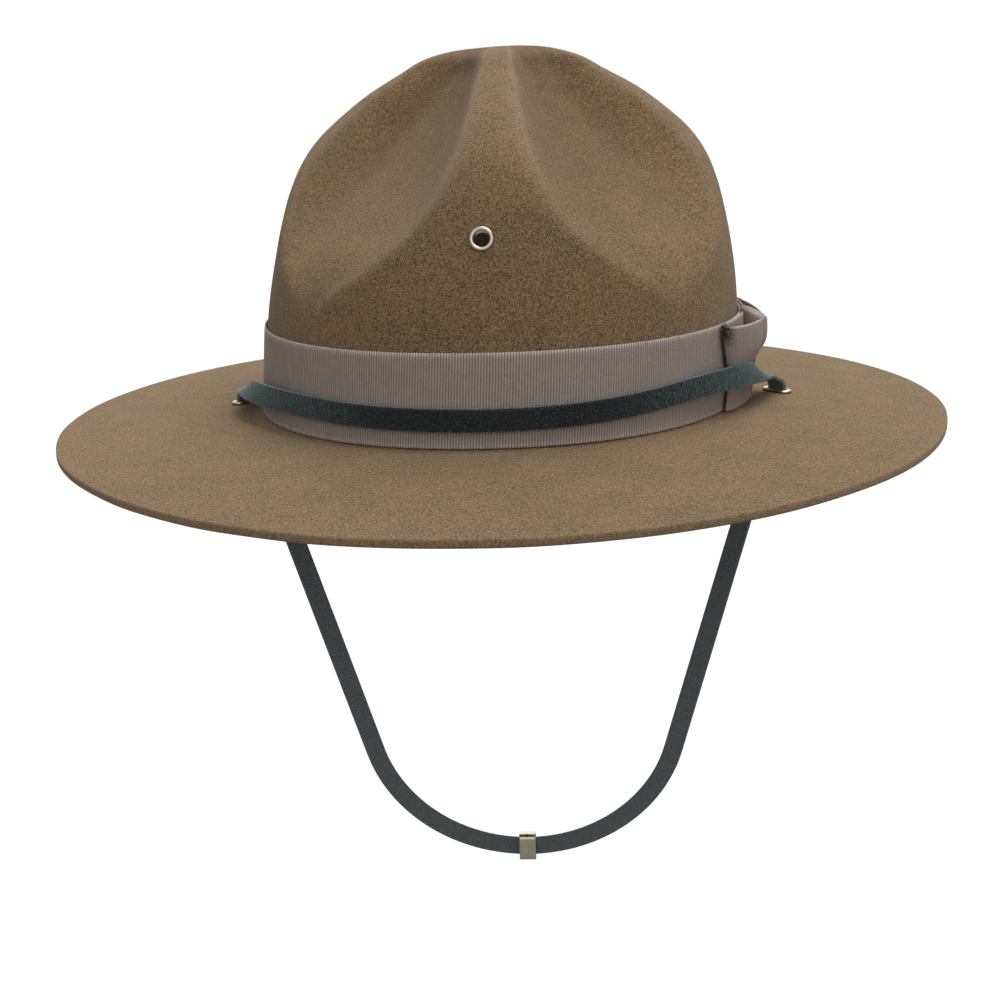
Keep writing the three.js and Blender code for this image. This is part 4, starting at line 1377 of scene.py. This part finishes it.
@dataclass
class Eyelets:
    """The metal eyelets: a round one at the front of the crown and one with round ends in each slot."""

    hat: Hat

    def profile(self, hole: float, wall: float, flange: float, grip: float, tall: float) -> Array:
        """Section of an eyelet: a tube with a flange rolled round at each end.

        Each flange is half an ellipse from the hole's lip to its rim, and flat where it grips the felt.

        Args:
            hole: radius of the hole.
            wall: thickness of the tube.
            flange: radius of the flange.
            grip: half the height between the flanges.
            tall: height of a flange.

        Returns:
            Radius and height on the last axis, closed.
        """
        turns = np.linspace(0, math.pi, 17)
        centre, reach = (hole + flange) / 2, (flange - hole) / 2
        top = np.stack([centre - reach * np.cos(turns), grip + tall * np.sin(turns) ** 0.8], -1)
        under = np.array([[flange - 0.05 * MM, grip], [hole + wall, grip], [hole + wall, -grip]])
        low = top[::-1] * np.array([1.0, -1.0])
        return np.concatenate([top, under, [[flange - 0.05 * MM, -grip]], low])

    def seat_mark(self, profile: Array, flange: float) -> Array:
        """Returns where tarnish gathers: at the outer rim and down in the tube."""
        radius = profile[:, 0]
        tube = smooth_step(0.0, 1.0, profile[0, 0] * 1.03 - radius)
        return np.maximum(smooth_step(flange * 0.9, flange, radius), tube)

    def badge(self) -> bpy.types.Object:
        """Makes the round eyelet: its section turned about the way out of the felt."""
        form, crown = self.hat.badge, self.hat.crown
        grip = crown.felt / 2 + CLEARANCE
        profile = self.profile(form.hole / 2, form.wall, form.flange / 2, grip, form.flange_tall)
        middle, across, along, outward = form.frame(crown)
        turns = np.arange(72) / 72 * 2 * math.pi
        radial = np.cos(turns)[:, None] * across + np.sin(turns)[:, None] * along
        points = middle + profile[:, None, :1] * radial + profile[:, None, 1:] * outward
        return self.finish(points, profile, form.flange / 2, "badge_eyelet_ring", "badge_eyelet")

    def slot_eyelet(self, side: Side, name: str, node: str) -> bpy.types.Object:
        """Makes a slot's eyelet: its section carried round a bar with round ends.

        Args:
            side: the side of the hat.
            name: name of the piece.
            node: the solid that it stands for.

        Returns:
            The piece.
        """
        form = self.hat.slot
        grip = self.hat.brim.felt / 2 + CLEARANCE
        radius = form.width / 2
        profile = self.profile(radius, form.wall, radius + form.wall + form.flange, grip, form.flange_tall)
        middle, along, outward, up = form.frame(self.hat.crown, self.hat.brim, side)
        reach = (form.length - form.width) / 2
        turns = np.linspace(-math.pi / 2, math.pi / 2, 25)
        ends = np.concatenate([turns, turns + math.pi])
        centre = np.concatenate([np.full(25, reach), np.full(25, -reach)])
        ways = np.cos(ends)[:, None] * along + np.sin(ends)[:, None] * outward
        spots = middle + centre[:, None] * along
        points = spots + profile[:, None, :1] * ways + profile[:, None, 1:] * up
        return self.finish(points, profile, radius + form.wall + form.flange, name, node)

    def finish(self, points: Array, profile: Array, flange: float, name: str, node: str) -> Any:
        """Makes an eyelet of its grid, with its marks.

        Args:
            points: the grid.
            profile: the section.
            flange: radius of the flange.
            name: name of the piece.
            node: the solid that it stands for.

        Returns:
            The piece.
        """
        mark = self.seat_mark(profile, flange)[:, None] * 0.8
        u = np.linspace(0, 0.02, points.shape[1] + 1)
        v = np.append(arc_lengths(profile), 0.0)
        surface = GridSurface(points, u, v, closed_rows=True, marks={"seat": mark})
        return settle(surface.object(name, self.hat.nickel), node)

    def build(self) -> list[bpy.types.Object]:
        """Makes the three eyelets."""
        return [
            self.badge(),
            self.slot_eyelet(Side.LEFT, "left_slot_eyelet_ring", "slot_eyelet_left"),
            self.slot_eyelet(Side.RIGHT, "right_slot_eyelet_ring", "slot_eyelet_right"),
        ]


@dataclass
class Keeper:
    """The plain metal sleeve at the nape."""

    hat: Hat
    strap: ChinStrap
    length: float = 7.0 * MM
    wall: float = 1.6 * MM
    play: float = 0.5 * MM

    def build(self) -> bpy.types.Object:
        """Makes the sleeve: a rounded wall section carried round the strap's outline."""
        points, faces = self.strap.half(Side.LEFT)
        middle, face = points[-1], faces[-1]
        grow = self.play + self.wall / 2
        width, tall = self.strap.width + 2 * grow, self.strap.thickness + 2 * grow
        path = rounded_bar(width, tall, grow - 0.1 * MM, 8, 8)
        section = rounded_bar(self.length, self.wall, 0.35 * MM, 4, 6)
        along = np.array([-1.0, 0.0, 0.0])
        across = unit(np.cross(along, face))
        line = middle + path[:, :1] * across + path[:, 1:] * face
        out = unit(np.roll(line, -1, 0) - np.roll(line, 1, 0))
        ways = np.cross(out, along)
        grid = line[:, None] + section[None, :, :1] * along + section[None, :, 1:] * ways[:, None]
        u, v = arc_lengths(section, closed=True), arc_lengths(line, closed=True)
        surface = GridSurface(grid, u, v, closed_rows=True)
        piece = surface.object("nape_keeper_sleeve", self.hat.nickel)
        return settle(piece, "strap_keeper")


# Studio


@dataclass(frozen=True)
class Softlight:
    """A broad distant light, as a large softbox gives.

    Attributes:
        azimuth: where it comes from, in degrees round the hat from the front towards +X.
        elevation: how high it stands, in degrees.
        power: its strength.
        spread: how wide it looks from the hat, in degrees.
    """

    azimuth: float
    elevation: float
    power: float
    spread: float


@dataclass
class Studio:
    """Plain pale floor, soft light and the camera of the photograph."""

    distance: float = 0.6
    azimuth: float = math.radians(3.02)
    elevation: float = math.radians(10.79)
    roll: float = math.radians(-1.91)
    focal: float = 1.59395
    sensor: float = 36.0
    target: tuple[float, float, float] = (-1.91 * MM, 0.0, -39.21 * MM)
    floor_height: float = -0.55
    sky: float = 0.3
    lights: tuple[Softlight, ...] = (
        Softlight(75, 66, 0.95, 32),
        Softlight(150, 66, 1.25, 40),
        Softlight(10, 34, 0.85, 80),
        Softlight(182, 24, 0.8, 60),
    )

    def camera(self) -> None:
        """Places the camera: on a sphere round the origin, aimed at the target, then rolled."""
        place = self.distance * direction(self.azimuth, self.elevation)
        back = unit(place - np.array(self.target))
        right = unit(np.cross([0.0, 0.0, 1.0], back))
        up = np.cross(back, right)
        c, s = math.cos(self.roll), math.sin(self.roll)
        axes = np.stack([c * right + s * up, -s * right + c * up, back], 1)
        data = bpy.data.cameras.new("camera")
        data.sensor_width = self.sensor
        data.lens = self.focal * self.sensor
        data.clip_start = 0.02
        eye = add_object("camera", data)
        eye.matrix_world = Matrix.Translation(place.tolist()) @ Matrix(axes.tolist()).to_4x4()
        bpy.context.scene.camera = eye

    def floor(self) -> None:
        """Makes the floor: one large pale square, which throws less light up than the camera sees."""
        reach = 30.0
        mesh = bpy.data.meshes.new("floor")
        corners = [(-reach, -reach), (reach, -reach), (reach, reach), (-reach, reach)]
        mesh.from_pydata([(x, y, self.floor_height) for x, y in corners], [], [(0, 1, 2, 3)])
        made, graph, shader = start_material("floor", {"Roughness": 0.9})
        seen = graph.node("ShaderNodeLightPath").outputs["Is Camera Ray"]
        shade = graph.mix(seen, (0.2, 0.2, 0.2, 1), (0.94, 0.94, 0.94, 1))
        graph.feed(shader, {"Base Color": shade})
        mesh.materials.append(made)
        add_object("floor", mesh)

    def light(self) -> None:
        """Makes the soft lights and the pale surroundings, which the camera sees as white."""
        for i, given in enumerate(self.lights):
            data = bpy.data.lights.new(f"softlight_{i}", "SUN")
            data.angle = math.radians(given.spread)
            data.energy = given.power
            made = add_object(f"softlight_{i}", data)
            way = Vector(direction(math.radians(given.azimuth), math.radians(given.elevation)))
            turn = way.to_track_quat("Z", "Y").to_matrix().to_4x4()
            made.matrix_world = Matrix.Translation(way * 2.0) @ turn
        world = bpy.data.worlds.new("studio")
        world.use_nodes = True
        graph = Graph(world.node_tree)
        seen = graph.node("ShaderNodeLightPath").outputs["Is Camera Ray"]
        strength = graph.fit(seen, 0.0, 1.0, self.sky, 1.0)
        background = world.node_tree.nodes["Background"]
        background.inputs["Color"].default_value = (1.0, 1.0, 1.0, 1.0)
        graph.feed(background, {"Strength": strength})
        bpy.context.scene.world = world

    def build(self) -> None:
        """Makes the studio."""
        self.camera()
        self.floor()
        self.light()
        bpy.context.scene.view_settings.view_transform = "Standard"


def main() -> None:
    """Builds the studio and every piece of the hat."""
    logging.basicConfig(level=logging.INFO, format="%(message)s")
    Studio().build()
    hat = Hat()
    FeltBody(hat).build()
    RibbonBand(hat).build()
    Bow(hat).build()
    strap = ChinStrap(hat)
    strap.build()
    Eyelets(hat).build()
    Keeper(hat, strap).build()


if __name__ == "__main__":
    main()
